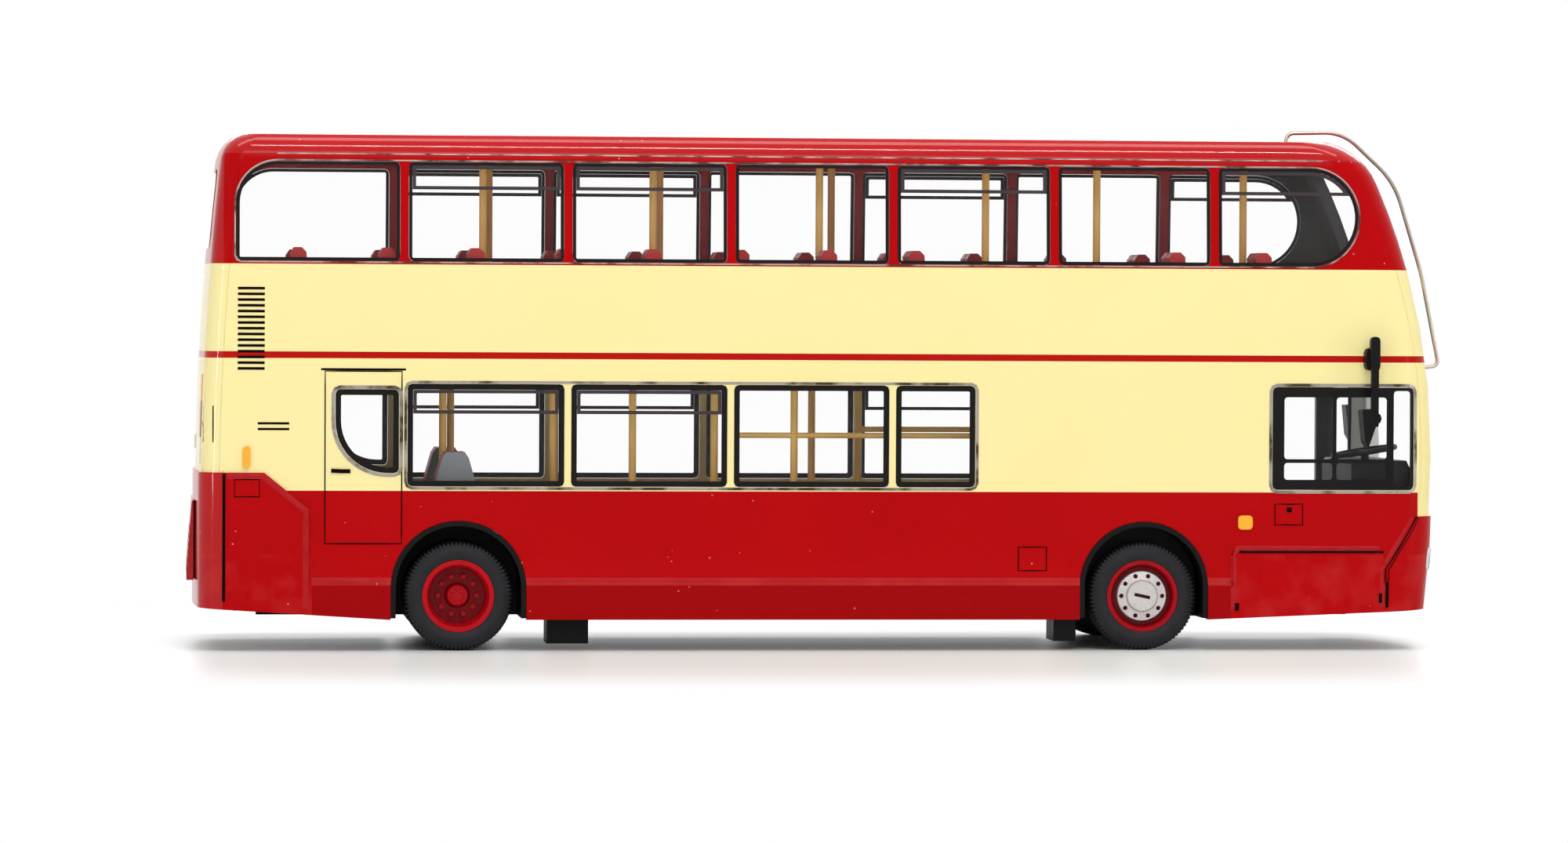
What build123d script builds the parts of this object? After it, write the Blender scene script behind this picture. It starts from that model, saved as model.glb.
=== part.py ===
"""Die-cast scale model of a double decker bus, as separate castings, mouldings and two turning axles.

Millimetres. X runs forward, the driver's side is at -Y, the entrance at +Y, Z is up from the ground.
"""
import os
from functools import cache
from math import atan2, cos, pi, radians, sin, sqrt, tan

from build123d import *

# Overall form of the body shell
HALF_WIDTH = 16.75
WAIST_Z = 40.65                 # where the upper deck walls start to lean in
LEAN = radians(3.2)
ROOF_Z = 54.6
COVE_R = 2.8                    # between wall and roof
NOSE_X, NOSE_Z = 67.2, 21.0     # foremost point of the front, on the centre line
RAKE_R, TUCK_R, DOME_R, DOME_STEPS = 71.0, 160.0, 8.0, 8
BOW_R, FRONT_CORNER_R = 60.0, 4.5
TAIL_X, TAIL_Z = 66.5, 15.0
TAIL_RAKE_R, TAIL_DOME_R = 322.0, 3.6
TAIL_BOW_R, TAIL_CORNER_R = 200.0, 2.5
CROWN_R = 300.0                 # camber of the roof
WALL = 1.2
PROUD = 0.25                    # raised skirt, bumpers and panels
GAP = 0.03                      # between pieces that are pushed together

# Edges of the shell seen from the side
SKIRT_Z, NOSE_LIFT, TAIL_LIFT = 3.3, 1.1, 1.25
SKIRT_BEND_REAR, SKIRT_BEND_FRONT = -46.2, 40.8
GUTTER_Z = 52.2
FRONT_SEAM = 3.1                # front casting, measured back from the front's own curve
ROOF_FRONT_X, ROOF_REAR_X = 50.0, -60.8
REAR_SEAM = 2.5                 # rear casting, measured forward from the rear's own curve
BUMPER_TOP, BUMPER_REAR_X = 14.3, 60.2
REAR_BUMPER_TOP, REAR_BUMPER_X = 18.7, -63.5
FAR = 90.0

# Window bays
BAY, FIRST_PILLAR = 17.23, -44.7
PILLAR_W, LOWER_PILLAR_W = 0.9, 0.7
UPPER_SILL, UPPER_HEAD = 40.95, 51.4
LOWER_SILL, LOWER_HEAD = 17.3, 28.1
HOPPER = 2.5                    # height of the opening lights
UPPER_REAR_X, UPPER_FRONT_X = -62.3, 57.05
CAB_REAR_X, CAB_FRONT_X = 47.8, 63.2
CORNER, SMALL_CORNER = 0.5, 0.7 # corners up to the small size are made of two short flats
RECESS, SHEET = 0.3, 0.5
UPPER_FRAME_W, LOWER_FRAME_W, HOPPER_W, FRAME_T = 0.34, 0.58, 0.36, 0.15

# Wheels
WHEELBASE = 72.9
FRONT_AXLE_X = 34.0
REAR_AXLE_X = FRONT_AXLE_X - WHEELBASE
TYRE_R, TYRE_W, RIM_R = 5.75, 3.6, 3.8
AXLE_Z, AXLE_R, RUNNING = TYRE_R, 0.75, 0.06
WHEEL_FACE = 16.0               # outer face of the tyres, from the centre line
TWIN_PITCH = 3.95
FRONT_ARCH_R, REAR_ARCH_R, ARCH_TOP = 6.9, 7.13, 13.7
LINER_T = 0.5

# Decks
BASE_Z, BASE_T = 4.2, 0.75
LOWER_FLOOR_Z, FLOOR_T = 8.4, 1.0
PLATFORM_Z, PLATFORM_X = 12.0, -29.0
UPPER_FLOOR_Z = 31.2
SEAT_W, SEAT_LEN, SEAT_RISE = 5.6, 4.2, 4.4

NODES = {}


def node(name, *shapes):
    """Keep every solid of the shapes given under one node name."""
    NODES[name] = [solid for shape in shapes for solid in shape.solids()]


def side_prism(outline, y_from, y_to):
    """An outline of the side view, X across and Z up, pushed from one Y to another."""
    return extrude(Plane((0, y_from, 0), x_dir=(1, 0, 0), z_dir=(0, -1, 0)) * outline, y_from - y_to)


def front_prism(outline, x_from, x_to):
    """An outline of the front view, Y across and Z up, pushed from one X to another."""
    return extrude(Plane((x_from, 0, 0), x_dir=(0, 1, 0), z_dir=(1, 0, 0)) * outline, x_to - x_from)


def block(x, y, z):
    """A box between pairs of limits."""
    low = [min(pair) for pair in (x, y, z)]
    high = [max(pair) for pair in (x, y, z)]
    return Pos(*low) * Box(*[b - a for a, b in zip(low, high)], align=(Align.MIN,) * 3)


def area(*points):
    return make_face(Polyline(*points, close=True))


def rounded(points, radius):
    return make_face(FilletPolyline(*points, radius=radius, close=True))


def pair(shape):
    """The shape and its mirror image on the other side of the bus."""
    return [shape, mirror(shape, Plane.XZ)]


def tangent(nose_x, nose_z, rake_r, dome_r):
    """Centre of the roof arc that carries an end's large arc on, and the angle where they meet."""
    z = ROOF_Z - dome_r
    run = sqrt((rake_r - dome_r) ** 2 - (z - nose_z) ** 2)
    return nose_x - rake_r + run, z, atan2(z - nose_z, run)


FRONT_END = (NOSE_X, NOSE_Z, RAKE_R, TUCK_R, DOME_R)
REAR_END = (TAIL_X, TAIL_Z, TAIL_RAKE_R, TAIL_RAKE_R * 20, TAIL_DOME_R)


def reach(end, z, inset):
    """How far an end of the form reaches at a height, for a form inset inside the outer skin."""
    nose_x, nose_z, rake_r, tuck_r, dome_r = end
    dome_x, dome_z, angle = tangent(nose_x, nose_z, rake_r, dome_r)
    if z > dome_z + (dome_r - inset) * sin(angle):
        return dome_x + sqrt(max(0.0, (dome_r - inset) ** 2 - (z - dome_z) ** 2))
    radius = rake_r if z >= nose_z else tuck_r
    return nose_x - radius + sqrt((radius - inset) ** 2 - (z - nose_z) ** 2)


def half_width(z, inset):
    """Half the width at a height: upright, then leaning, then round the cove."""
    cove_z = ROOF_Z - COVE_R
    if z <= WAIST_Z:
        return HALF_WIDTH - inset
    if z > cove_z + (COVE_R - inset) * sin(LEAN):
        cove_y = HALF_WIDTH - (COVE_R + (cove_z - WAIST_Z) * sin(LEAN)) / cos(LEAN)
        return cove_y + sqrt(max(0.0, (COVE_R - inset) ** 2 - (z - cove_z) ** 2))
    return HALF_WIDTH - inset / cos(LEAN) - (z - WAIST_Z) * tan(LEAN)


def corner(x, way, half, bow_r, corner_r):
    """Bow tangent point, middle and side tangent point of one rounded corner in plan."""
    across, bow_x = half - corner_r, x - way * bow_r
    run = sqrt((bow_r - corner_r) ** 2 - across ** 2)
    angle = atan2(across, run)
    middle = (angle + pi / 2) / 2
    x = bow_x + way * run
    return ((bow_x + way * bow_r * cos(angle), bow_r * sin(angle)),
            (x + way * corner_r * cos(middle), across + corner_r * sin(middle)), (x, half))


def plan(z, inset):
    """Outline of the body in plan at a height: bowed ends, round corners, straight sides."""
    half, front, rear = half_width(z, inset), reach(FRONT_END, z, inset), -reach(REAR_END, z, inset)
    f1, f2, f3 = corner(front, 1, half, BOW_R - inset, FRONT_CORNER_R - inset)
    r1, r2, r3 = corner(rear, -1, half, TAIL_BOW_R - inset, TAIL_CORNER_R - inset)

    def at(point, side=1):
        return point[0], side * point[1], z

    arc, line = Edge.make_three_point_arc, Edge.make_line
    return Wire([arc(at(f1, -1), (front, 0, z), at(f1)), arc(at(f1), at(f2), at(f3)), line(at(f3), at(r3)),
                 arc(at(r3), at(r2), at(r1)), arc(at(r1), (rear, 0, z), at(r1, -1)),
                 arc(at(r1, -1), at(r2, -1), at(r3, -1)), line(at(r3, -1), at(f3, -1)),
                 arc(at(f3, -1), at(f2, -1), at(f1, -1))])


@cache
def form(inset):
    """The whole body form as one loft, shrunk evenly by the inset, flat cut below the skirt."""
    dome_x, dome_z, angle = tangent(NOSE_X, NOSE_Z, RAKE_R, DOME_R)
    foot, shoulder = SKIRT_Z - 2 - inset, dome_z + (DOME_R - inset) * sin(angle)
    levels = [foot, 11.5, NOSE_Z, 28.0, 34.5, WAIST_Z]
    levels += [WAIST_Z + (shoulder - WAIST_Z) * k / 3 for k in (1, 2, 3)]
    levels += [dome_z + (DOME_R - inset) * sin(angle + (pi / 2 - angle) * k / DOME_STEPS)
               for k in range(1, DOME_STEPS + 1)]
    solid = Solid.make_loft([plan(z, inset) for z in levels], ruled=True)
    crown = Pos(0, 0, ROOF_Z - CROWN_R) * Rot(0, 90, 0) * Cylinder(CROWN_R - inset, 2 * FAR)
    return solid & crown


# Regions that the shell is parted along, as outlines of the side view
def seam_x(z):
    return NOSE_X - RAKE_R + sqrt((RAKE_R - FRONT_SEAM) ** 2 - (z - NOSE_Z) ** 2)


def tail_seam_x(z):
    return TAIL_RAKE_R - TAIL_X - sqrt((TAIL_RAKE_R - REAR_SEAM) ** 2 - (z - TAIL_Z) ** 2)


SKIRT = area((-FAR, SKIRT_Z + TAIL_LIFT * (FAR + SKIRT_BEND_REAR) / (TAIL_X + SKIRT_BEND_REAR)),
             (SKIRT_BEND_REAR, SKIRT_Z), (SKIRT_BEND_FRONT, SKIRT_Z),
             (FAR, SKIRT_Z + NOSE_LIFT * (FAR - SKIRT_BEND_FRONT) / (NOSE_X - SKIRT_BEND_FRONT)),
             (FAR, FAR), (-FAR, FAR))
seam = ThreePointArc((seam_x(GUTTER_Z), GUTTER_Z), (seam_x(NOSE_Z), NOSE_Z), (seam_x(0), 0))
FRONT_REGION = make_face([seam, Polyline((seam_x(0), 0), (FAR, 0), (FAR, FAR), (ROOF_FRONT_X, FAR),
                                         (ROOF_FRONT_X, GUTTER_Z), (seam_x(GUTTER_Z), GUTTER_Z))])
tail_seam = ThreePointArc((tail_seam_x(0), 0), (tail_seam_x(TAIL_Z), TAIL_Z),
                          (tail_seam_x(GUTTER_Z), GUTTER_Z))
REAR_REGION = make_face([tail_seam, Polyline((tail_seam_x(GUTTER_Z), GUTTER_Z), (ROOF_REAR_X, GUTTER_Z),
                                             (ROOF_REAR_X, FAR), (-FAR, FAR), (-FAR, 0), (tail_seam_x(0), 0))])
ROOF_REGION = area((ROOF_REAR_X, GUTTER_Z), (ROOF_FRONT_X, GUTTER_Z), (ROOF_FRONT_X, FAR), (ROOF_REAR_X, FAR))
BUMPER_REGION = area((FAR, BUMPER_TOP), (seam_x(BUMPER_TOP), BUMPER_TOP), (BUMPER_REAR_X, 8.6),
                     (BUMPER_REAR_X, 0), (FAR, 0))
REAR_BUMPER_REGION = area((REAR_BUMPER_X, 0), (REAR_BUMPER_X, REAR_BUMPER_TOP), (-FAR, REAR_BUMPER_TOP),
                          (-FAR, 0))


def through(outline):
    return side_prism(outline, FAR, -FAR)


def pillar(k):
    return FIRST_PILLAR + k * BAY


def window(x0, x1, z0, z1, radii=(CORNER,) * 4, grow=0.0):
    """Outline of a window; radii run rear bottom, front bottom, front top, rear top."""
    x0, x1, z0, z1 = x0 - grow, x1 + grow, z0 - grow, z1 + grow
    corners = ((x0, z0, 1, 1), (x1, z0, -1, 1), (x1, z1, -1, -1), (x0, z1, 1, -1))
    edges, last = [], None
    for k, ((x, z, along, up), radius) in enumerate(zip(corners, radii)):
        r = max(radius + grow, CORNER / 4)
        flat, upright, q = (x + along * r, z), (x, z + up * r), r * (1 - sqrt(0.5))
        start, end = (upright, flat) if k % 2 == 0 else (flat, upright)
        bend = ThreePointArc if r > SMALL_CORNER else Polyline
        edges += [Line(last, start)] if last else []
        edges.append(bend(start, (x + along * q, z + up * q), end))
        first, last = (first if k else start), end
    return make_face(edges + [Line(last, first)])


def bay(k, sill, head, width):
    return pillar(k) + width / 2, pillar(k + 1) - width / 2, sill, head


ROUND_END = (UPPER_HEAD - UPPER_SILL) / 2 - 0.03
UPPER = [(UPPER_REAR_X, pillar(0) - PILLAR_W / 2, UPPER_SILL, UPPER_HEAD, (CORNER, CORNER, CORNER, 4.4))]
UPPER += [bay(k, UPPER_SILL, UPPER_HEAD, PILLAR_W) for k in range(5)]
UPPER += [(pillar(5) + PILLAR_W / 2, UPPER_FRONT_X, UPPER_SILL, UPPER_HEAD,
           (CORNER, ROUND_END, ROUND_END, CORNER))]
UPPER_HOPPERS = (1, 2, 4, 6)
STAIR_PANEL_X = 15.85
LOWER_OFF = [bay(k, LOWER_SILL, LOWER_HEAD, LOWER_PILLAR_W) for k in range(3)]
LOWER_OFF += [(pillar(3) + LOWER_PILLAR_W / 2, STAIR_PANEL_X, LOWER_SILL, LOWER_HEAD)]
QUARTER_LIGHT = (-51.9, -45.2, 18.7, 27.5, (5.5, CORNER, CORNER, CORNER))
LOWER_OFF += [QUARTER_LIGHT]
CAB = (CAB_REAR_X, CAB_FRONT_X, LOWER_SILL - 0.2, LOWER_HEAD)
LOWER_OFF_HOPPERS = (0, 1)
LOWER_NEAR = [bay(k, LOWER_SILL, LOWER_HEAD, LOWER_PILLAR_W) for k in range(5)] + [QUARTER_LIGHT]
FRONT_LIGHT = (60.6, 63.0, LOWER_SILL - 0.2, LOWER_HEAD)
LOWER_NEAR_HOPPERS = (0, 1, 3)
DOOR_REAR_X, DOOR_FRONT_X, DOOR_SILL = 45.2, 59.7, 5.2


def arch(x, radius, grow=0.0):
    z = ARCH_TOP - radius
    return Pos(x, z) * Circle(radius + grow) + Pos(x, z / 2 - 2) * Rectangle(2 * (radius + grow), z + 4)


ARCHES = ((FRONT_AXLE_X, FRONT_ARCH_R), (REAR_AXLE_X, REAR_ARCH_R))

# Shell and its castings
outer, inner, glass_face, lining = form(0), form(WALL), form(RECESS), form(WALL + GAP)
glass_back, frame_face, swollen = form(WALL + SHEET), form(RECESS - FRAME_T), form(-PROUD)
skirt_cut = through(SKIRT)
shell = (outer - inner) & skirt_cut
front_cut, rear_cut, roof_cut = through(FRONT_REGION), through(REAR_REGION), through(ROOF_REGION)
bumper_cut, rear_bumper_cut = through(BUMPER_REGION), through(REAR_BUMPER_REGION)
node("roof_casting", shell & roof_cut)

# Front: two windscreens and a destination opening between them
SCREEN_UP = window(-13.0, 13.0, 41.9, 53.1, (1.2, 1.2, 3.2, 3.2))
SCREEN_LOW = window(-13.5, 13.5, 16.6, 28.7, (1.6, 1.6, 1.6, 1.6))
BLIND = window(-10.5, 10.5, 32.2, 38.4, (0.6,) * 4)
front_holes = [front_prism(o, 40, FAR) for o in (SCREEN_UP, SCREEN_LOW, BLIND)]
node("front_casting", ((shell & front_cut) - bumper_cut) - front_holes)

# Rear: one upper window
REAR_WINDOW = window(-11.5, 11.5, 42.3, 50.6, (1.4,) * 4)
rear_hole = front_prism(REAR_WINDOW, -FAR, -50)
node("rear_casting", ((shell & rear_cut) - rear_bumper_cut) - rear_hole)

# Bumpers stand a little proud of the castings
node("front_bumper", ((swollen - inner) & skirt_cut) & bumper_cut)
node("rear_bumper", ((swollen - inner) & skirt_cut) & rear_bumper_cut)

# Engine cover, a sloping panel on the back of the rear bumper
COVER_TOP, COVER_FOOT, COVER_DEPTH = 15.6, 7.2, 0.62
cover_x = -(TAIL_X + PROUD)
cover = extrude(Plane((0, 0, 0), x_dir=(1, 0, 0), z_dir=(0, -1, 0)) * area(
    (cover_x + 0.12, COVER_FOOT), (cover_x - COVER_DEPTH, COVER_FOOT), (cover_x - COVER_DEPTH, COVER_FOOT + 1),
    (cover_x - 0.08, COVER_TOP), (cover_x + 0.12, COVER_TOP)), 10.5, both=True)
node("engine_cover", cover - swollen)

# Sides
walls = (shell - front_cut - rear_cut - roof_cut) - bumper_cut - rear_bumper_cut
SKIRT_TOP, PANEL_REAR_X = 7.75, -54.6
LOUVRES, LOUVRE_PITCH = 15, 0.6
for side, name in ((-1, "offside"), (1, "nearside")):
    wall = walls & block((-FAR, FAR), (0, side * FAR), (-10, FAR))
    face, root = side * (HALF_WIDTH + PROUD), side * (HALF_WIDTH - 0.3)
    band = extrude(Plane((PANEL_REAR_X, 0, 0), x_dir=(0, 1, 0), z_dir=(1, 0, 0)) * area(
        (root, SKIRT_Z - 1), (face, SKIRT_Z - 1), (face, SKIRT_TOP - 0.7), (side * HALF_WIDTH, SKIRT_TOP),
        (root, SKIRT_TOP)), BUMPER_REAR_X - PANEL_REAR_X)
    quarter = side_prism(area((REAR_BUMPER_X, 2), (REAR_BUMPER_X, REAR_BUMPER_TOP), (-59.3, REAR_BUMPER_TOP),
                              (PANEL_REAR_X, 14.9), (PANEL_REAR_X, 2)), root, face)
    access = side_prism(window(43.5, 60.0, SKIRT_Z - 2, 10.4), root, face)
    wall = (wall + band + quarter + access) & skirt_cut
    wall -= [side_prism(arch(x, r), side * 10, side * FAR) for x, r in ARCHES]
    wall -= [side_prism(window(*w), side * 10, side * FAR) for w in UPPER]
    lower = LOWER_OFF + [CAB] if side < 0 else LOWER_NEAR + [FRONT_LIGHT]
    wall -= [side_prism(window(*w), side * 10, side * FAR) for w in lower]
    if side < 0:
        wall -= [block((-62.1, -59.3), (side * (HALF_WIDTH - 0.4), side * FAR), (z, z + 0.28))
                 for z in [29.5 + k * LOUVRE_PITCH for k in range(LOUVRES)]]
    else:
        wall -= side_prism(window(DOOR_REAR_X, DOOR_FRONT_X, DOOR_SILL - 4, LOWER_HEAD), side * 10, side * FAR)
    node(name + "_casting", wall)

# Glazing: clear sheets behind the walls with raised panes that fill the openings
sheet_layer, pane_layer = lining - glass_back, glass_face - glass_back
frame_layer = frame_face - glass_face
SHEET_LAP = 0.3
saloon = through(area((UPPER_REAR_X - SHEET_LAP, 0), (UPPER_REAR_X - SHEET_LAP, FAR),
                      (UPPER_FRONT_X + SHEET_LAP, FAR), (CAB_FRONT_X + SHEET_LAP, 30),
                      (CAB_FRONT_X + SHEET_LAP, 0)))
SIDE_ONLY = 13.6                # side sheets keep outside this, clear of the end windows


def glaze(windows, side, band):
    """One sheet over a band of heights, with a pane for each window of a side."""
    sheet = (sheet_layer & saloon) & block(band[0], (side * SIDE_ONLY, side * FAR), band[1])
    cuts = [side_prism(window(*w, grow=-GAP), side * SIDE_ONLY, side * FAR) for w in windows]
    panes = [solid for cut in cuts for solid in (pane_layer & cut).solids()]
    return sheet.fuse(*panes)


def rings(windows, side, width):
    """Thin frames lying on the panes, inside the edges of the openings."""
    made = []
    for w in windows:
        ring = window(*w, grow=-GAP) - window(*w, grow=-GAP - width)
        made += (frame_layer & side_prism(ring, side * 5, side * FAR)).solids()
    return made


def hoppers(windows, picks, side):
    """Grey frames of the opening lights, inside the top of the black frames."""
    made = []
    for k in picks:
        x0, x1, z0, z1 = windows[k][:4]
        inset = GAP + (UPPER_FRAME_W if z0 > WAIST_Z else LOWER_FRAME_W) + 0.02
        foot = z1 - inset - HOPPER
        ring = window(*windows[k], grow=-inset) & area((x0, foot), (x1, foot), (x1, z1), (x0, z1))
        foot += HOPPER_W
        ring -= window(*windows[k], grow=-inset - HOPPER_W) & area((x0, foot), (x1, foot), (x1, z1), (x0, z1))
        made += (frame_layer & side_prism(ring, side * 5, side * FAR)).solids()
    return made


UPPER_BAND = ((-FAR, FAR), (UPPER_SILL - 0.9, UPPER_HEAD + 0.6))
LOWER_BAND = ((-53.0, FAR), (LOWER_SILL - 0.9, LOWER_HEAD + 0.6))
LOWER_NEAR_BAND = ((-53.0, DOOR_REAR_X - 1), (LOWER_SILL - 0.9, LOWER_HEAD + 0.6))
FRONT_LIGHT_BAND = ((FRONT_LIGHT[0] - 0.4, FAR), LOWER_BAND[1])
CAB_PANES = ((49.1, 54.3, 18.2, 20.0), (49.1, 54.3, 20.4, 27.0), (54.75, 60.2, 18.2, 20.0),
             (54.75, 60.2, 20.4, 27.0), (60.95, CAB_FRONT_X - 0.4, 17.5, 27.7))
cab_frame = window(*CAB, grow=-GAP) - [window(*pane, (0.3,) * 4) for pane in CAB_PANES]
frames, lights = (frame_layer & side_prism(cab_frame, -5, -FAR)).solids(), []
for side, name, lower, band, picks in ((-1, "offside", LOWER_OFF, LOWER_BAND, LOWER_OFF_HOPPERS),
                                       (1, "nearside", LOWER_NEAR, LOWER_NEAR_BAND, LOWER_NEAR_HOPPERS)):
    node(name + "_upper_glazing", glaze(UPPER, side, UPPER_BAND))
    if side < 0:
        node(name + "_lower_glazing", glaze(lower + [CAB], side, band))
    else:
        node(name + "_lower_glazing", glaze(lower, side, band), glaze([FRONT_LIGHT], side, FRONT_LIGHT_BAND))
        frames += rings([FRONT_LIGHT], side, UPPER_FRAME_W)
    frames += rings(UPPER, side, UPPER_FRAME_W) + rings(lower, side, LOWER_FRAME_W)
    lights += hoppers(UPPER, UPPER_HOPPERS, side) + hoppers(lower, picks, side)
node("window_frames", *frames)
node("hopper_frames", *lights)

for name, outline in (("upper_windscreen", SCREEN_UP), ("lower_windscreen", SCREEN_LOW)):
    y = outline.bounding_box().max.X - GAP
    z0, z1 = outline.bounding_box().min.Y + GAP, outline.bounding_box().max.Y - GAP
    radii = (1.2, 1.2, 3.2, 3.2) if name.startswith("upper") else (1.6,) * 4
    node(name, pane_layer & front_prism(window(-y, y, z0, z1, radii), 56, FAR))
blind_pane = window(-10.5, 10.5, 32.2, 38.4, (0.6,) * 4, grow=-GAP)
node("destination_panel", (glass_face - form(WALL)) & front_prism(blind_pane, 50, FAR))
rear_pane = window(-11.5, 11.5, 42.3, 50.6, (1.4,) * 4, grow=-GAP)
node("rear_window", pane_layer & front_prism(rear_pane, -FAR, -55))

# Entrance: two leaves with tall panes, closed
LEAF = (DOOR_FRONT_X - DOOR_REAR_X) / 2
door_frame, door_glass = [], []
door_back = form(WALL + 0.1)
for k in range(2):
    x0 = DOOR_REAR_X + k * LEAF + GAP
    edge = window(x0, x0 + LEAF - 2 * GAP, DOOR_SILL, LOWER_HEAD - GAP)
    light = window(x0, x0 + LEAF - 2 * GAP, DOOR_SILL, LOWER_HEAD - GAP, grow=-0.8)
    leaf = (glass_face - door_back) & side_prism(edge, 5, FAR)
    door_frame += (leaf - side_prism(light, 5, FAR)).solids()
    door_glass += ((form(RECESS + 0.3) - form(WALL - 0.2)) & side_prism(light, 5, FAR)).solids()
node("entrance_doors", *door_frame)
node("door_glazing", *door_glass)

# Base, wheel arch liners and screw posts
base = (form(WALL + 0.1) & block((-62.5, 61.5), (-FAR, FAR), (BASE_Z, BASE_Z + BASE_T)))
FRONT_INNER, REAR_INNER = 11.4, 7.9            # inner walls of the wheel boxes, from the centre line
for (x, r), y in zip(ARCHES, (FRONT_INNER, REAR_INNER)):
    for side in (-1, 1):
        base -= side_prism(arch(x, r, GAP), side * y, side * FAR)
RAIL_Y, RAIL_W, RAIL_DROP = 5.2, 1.3, 0.9
for y in (-RAIL_Y, RAIL_Y):
    base += block((-60, 58), (y - RAIL_W / 2, y + RAIL_W / 2), (BASE_Z - RAIL_DROP, BASE_Z + 0.1))
CROSS = ((-30.0, 5), (-12.0, 1.6), (4.0, 1.6), (24.0, 1.6), (44.0, 2.4))
for x, length in CROSS:
    base += block((x, x + length), (-RAIL_Y, RAIL_Y), (BASE_Z - 0.6, BASE_Z + 0.1))
base += block((-61, -47), (-4.2, 4.2), (BASE_Z - 0.3, BASE_Z + 0.1))
for x, y in ((FRONT_AXLE_X, 10.2), (REAR_AXLE_X, 6.6)):
    for side in (-1, 1):
        base += block((x - 1.7, x + 1.7), (side * (y - 0.9), side * (y + 0.9)), (BASE_Z, AXLE_Z + 1.6))
FLAPS = ((24.6, 27.0, -9.6, 0.9), (-29.4, -25.0, -8.2, 0.6))    # tanks that hang down on the driver's side
for x0, x1, y, z in FLAPS:
    base += block((x0, x1), (y, y - 5.2), (z, BASE_Z + 0.1))
for x in (FRONT_AXLE_X, REAR_AXLE_X):
    base -= Pos(x, 0, AXLE_Z) * Rot(90, 0, 0) * Cylinder(AXLE_R + RUNNING, 40)
POST_X, POST_R, SCREW_R, SCREW_DEPTH = (-8.0, 14.0), 2.4, 1.25, 3.2
post_foot = BASE_Z - RAIL_DROP
posts = []
for x in POST_X:
    base -= Pos(x, 0, BASE_Z) * Cylinder(POST_R + GAP, 6)
    post = Pos(x, 0, post_foot) * Cylinder(POST_R, LOWER_FLOOR_Z - FLOOR_T - post_foot,
                                           align=(Align.CENTER, Align.CENTER, Align.MIN))
    posts.append(post - Pos(x, 0, post_foot) * Cylinder(
        SCREW_R, SCREW_DEPTH, align=(Align.CENTER, Align.CENTER, Align.MIN)))
node("chassis_base", base)
node("screw_posts", *posts)

for (x, r), y, name in zip(ARCHES, (FRONT_INNER, REAR_INNER), ("front", "rear")):
    made = []
    for side in (-1, 1):
        tube = arch(x, r, -GAP) - arch(x, r, -GAP - LINER_T)
        liner = side_prism(tube, side * y, side * (HALF_WIDTH + 0.1))
        liner += side_prism(arch(x, r, -GAP), side * y, side * (y + LINER_T))
        slot = Pos(x, AXLE_Z) * Circle(AXLE_R + 0.3) + Pos(x, 0) * Rectangle(2 * AXLE_R + 0.6, 2 * AXLE_Z)
        liner -= side_prism(slot, side * (y - 1), side * (y + 1))
        made.append(liner & block((-FAR, FAR), (-FAR, FAR), (SKIRT_Z + 0.15, FAR)))
    node(name + "_arch_liners", *made)

# Lower deck
arch_boxes = [side_prism(arch(x, r, GAP), side * (y - GAP), side * FAR)
              for (x, r), y in zip(ARCHES, (FRONT_INNER, REAR_INNER)) for side in (-1, 1)]
deck_plan = form(WALL + 0.1)
lower = deck_plan & block((-62.0, 62.0), (-FAR, FAR), (LOWER_FLOOR_Z - FLOOR_T, LOWER_FLOOR_Z))
lower += deck_plan & block((-62.0, PLATFORM_X), (-FAR, FAR), (LOWER_FLOOR_Z - 0.1, PLATFORM_Z))
node("lower_floor", lower - arch_boxes)


def seat(x, y, floor, rise, step=SEAT_RISE):
    """A double seat facing forward: cushion on a pedestal, and two backs side by side."""
    back, top, base = 1.1, floor + rise, floor + step - 1.1
    shape = area((0, base), (SEAT_LEN, base), (SEAT_LEN, base + 1.1), (back, base + 1.1),
                 (back - 0.3, top - 0.5), (back - 0.8, top), (-0.5, top), (-0.9, top - 0.6))
    solid = side_prism(shape, y - SEAT_W / 2, y + SEAT_W / 2)
    notch = Pos(x, y, top) * Box(4, 0.5, 2.0)
    leg = block((x + 0.8, x + 3.0), (y - 1.6, y + 1.6), (floor, floor + step - 0.9))
    return (Pos(x, 0, 0) * solid + leg) - notch


SEAT_Y = 11.4
FIRST_SEAT_X, SEAT_PITCH, UPPER_BACK = -55.7, 9.36, 11.2
upper_floor = (deck_plan & block((-63.0, 61.0), (-FAR, FAR), (UPPER_FLOOR_Z - FLOOR_T, UPPER_FLOOR_Z)))
WELL = ((18.0, 34.0), (-15.0, -8.4))
upper_floor -= block(*WELL, (UPPER_FLOOR_Z - 5, UPPER_FLOOR_Z + 5))
node("upper_floor", upper_floor)
ROWS, NO_SEAT_ROWS = 12, (8, 9)                # the stair well takes two places on the driver's side
upper_seats = [seat(FIRST_SEAT_X + k * SEAT_PITCH, side * SEAT_Y, UPPER_FLOOR_Z, UPPER_BACK)
               for side in (-1, 1) for k in range(ROWS) if side > 0 or k not in NO_SEAT_ROWS]
node("upper_seats", *upper_seats)
BENCH_X, BENCH_Z = -39.15, ARCH_TOP + 0.05      # seats back to back on the rear wheel boxes
BENCH = ((5.2, 0), (5.2, 2.8), (2.3, 2.8), (2.0, 4.4), (1.4, 6.5), (1.0, 7.1))
bench = area(*[(BENCH_X + x, BENCH_Z + z) for x, z in BENCH],
             *[(BENCH_X - x, BENCH_Z + z) for x, z in reversed(BENCH)])
LOWER_ROWS = ((-57.0, PLATFORM_Z), (-22.0, LOWER_FLOOR_Z), (-12.4, LOWER_FLOOR_Z), (-2.8, LOWER_FLOOR_Z))
LOWER_BACK = 8.4
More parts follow.
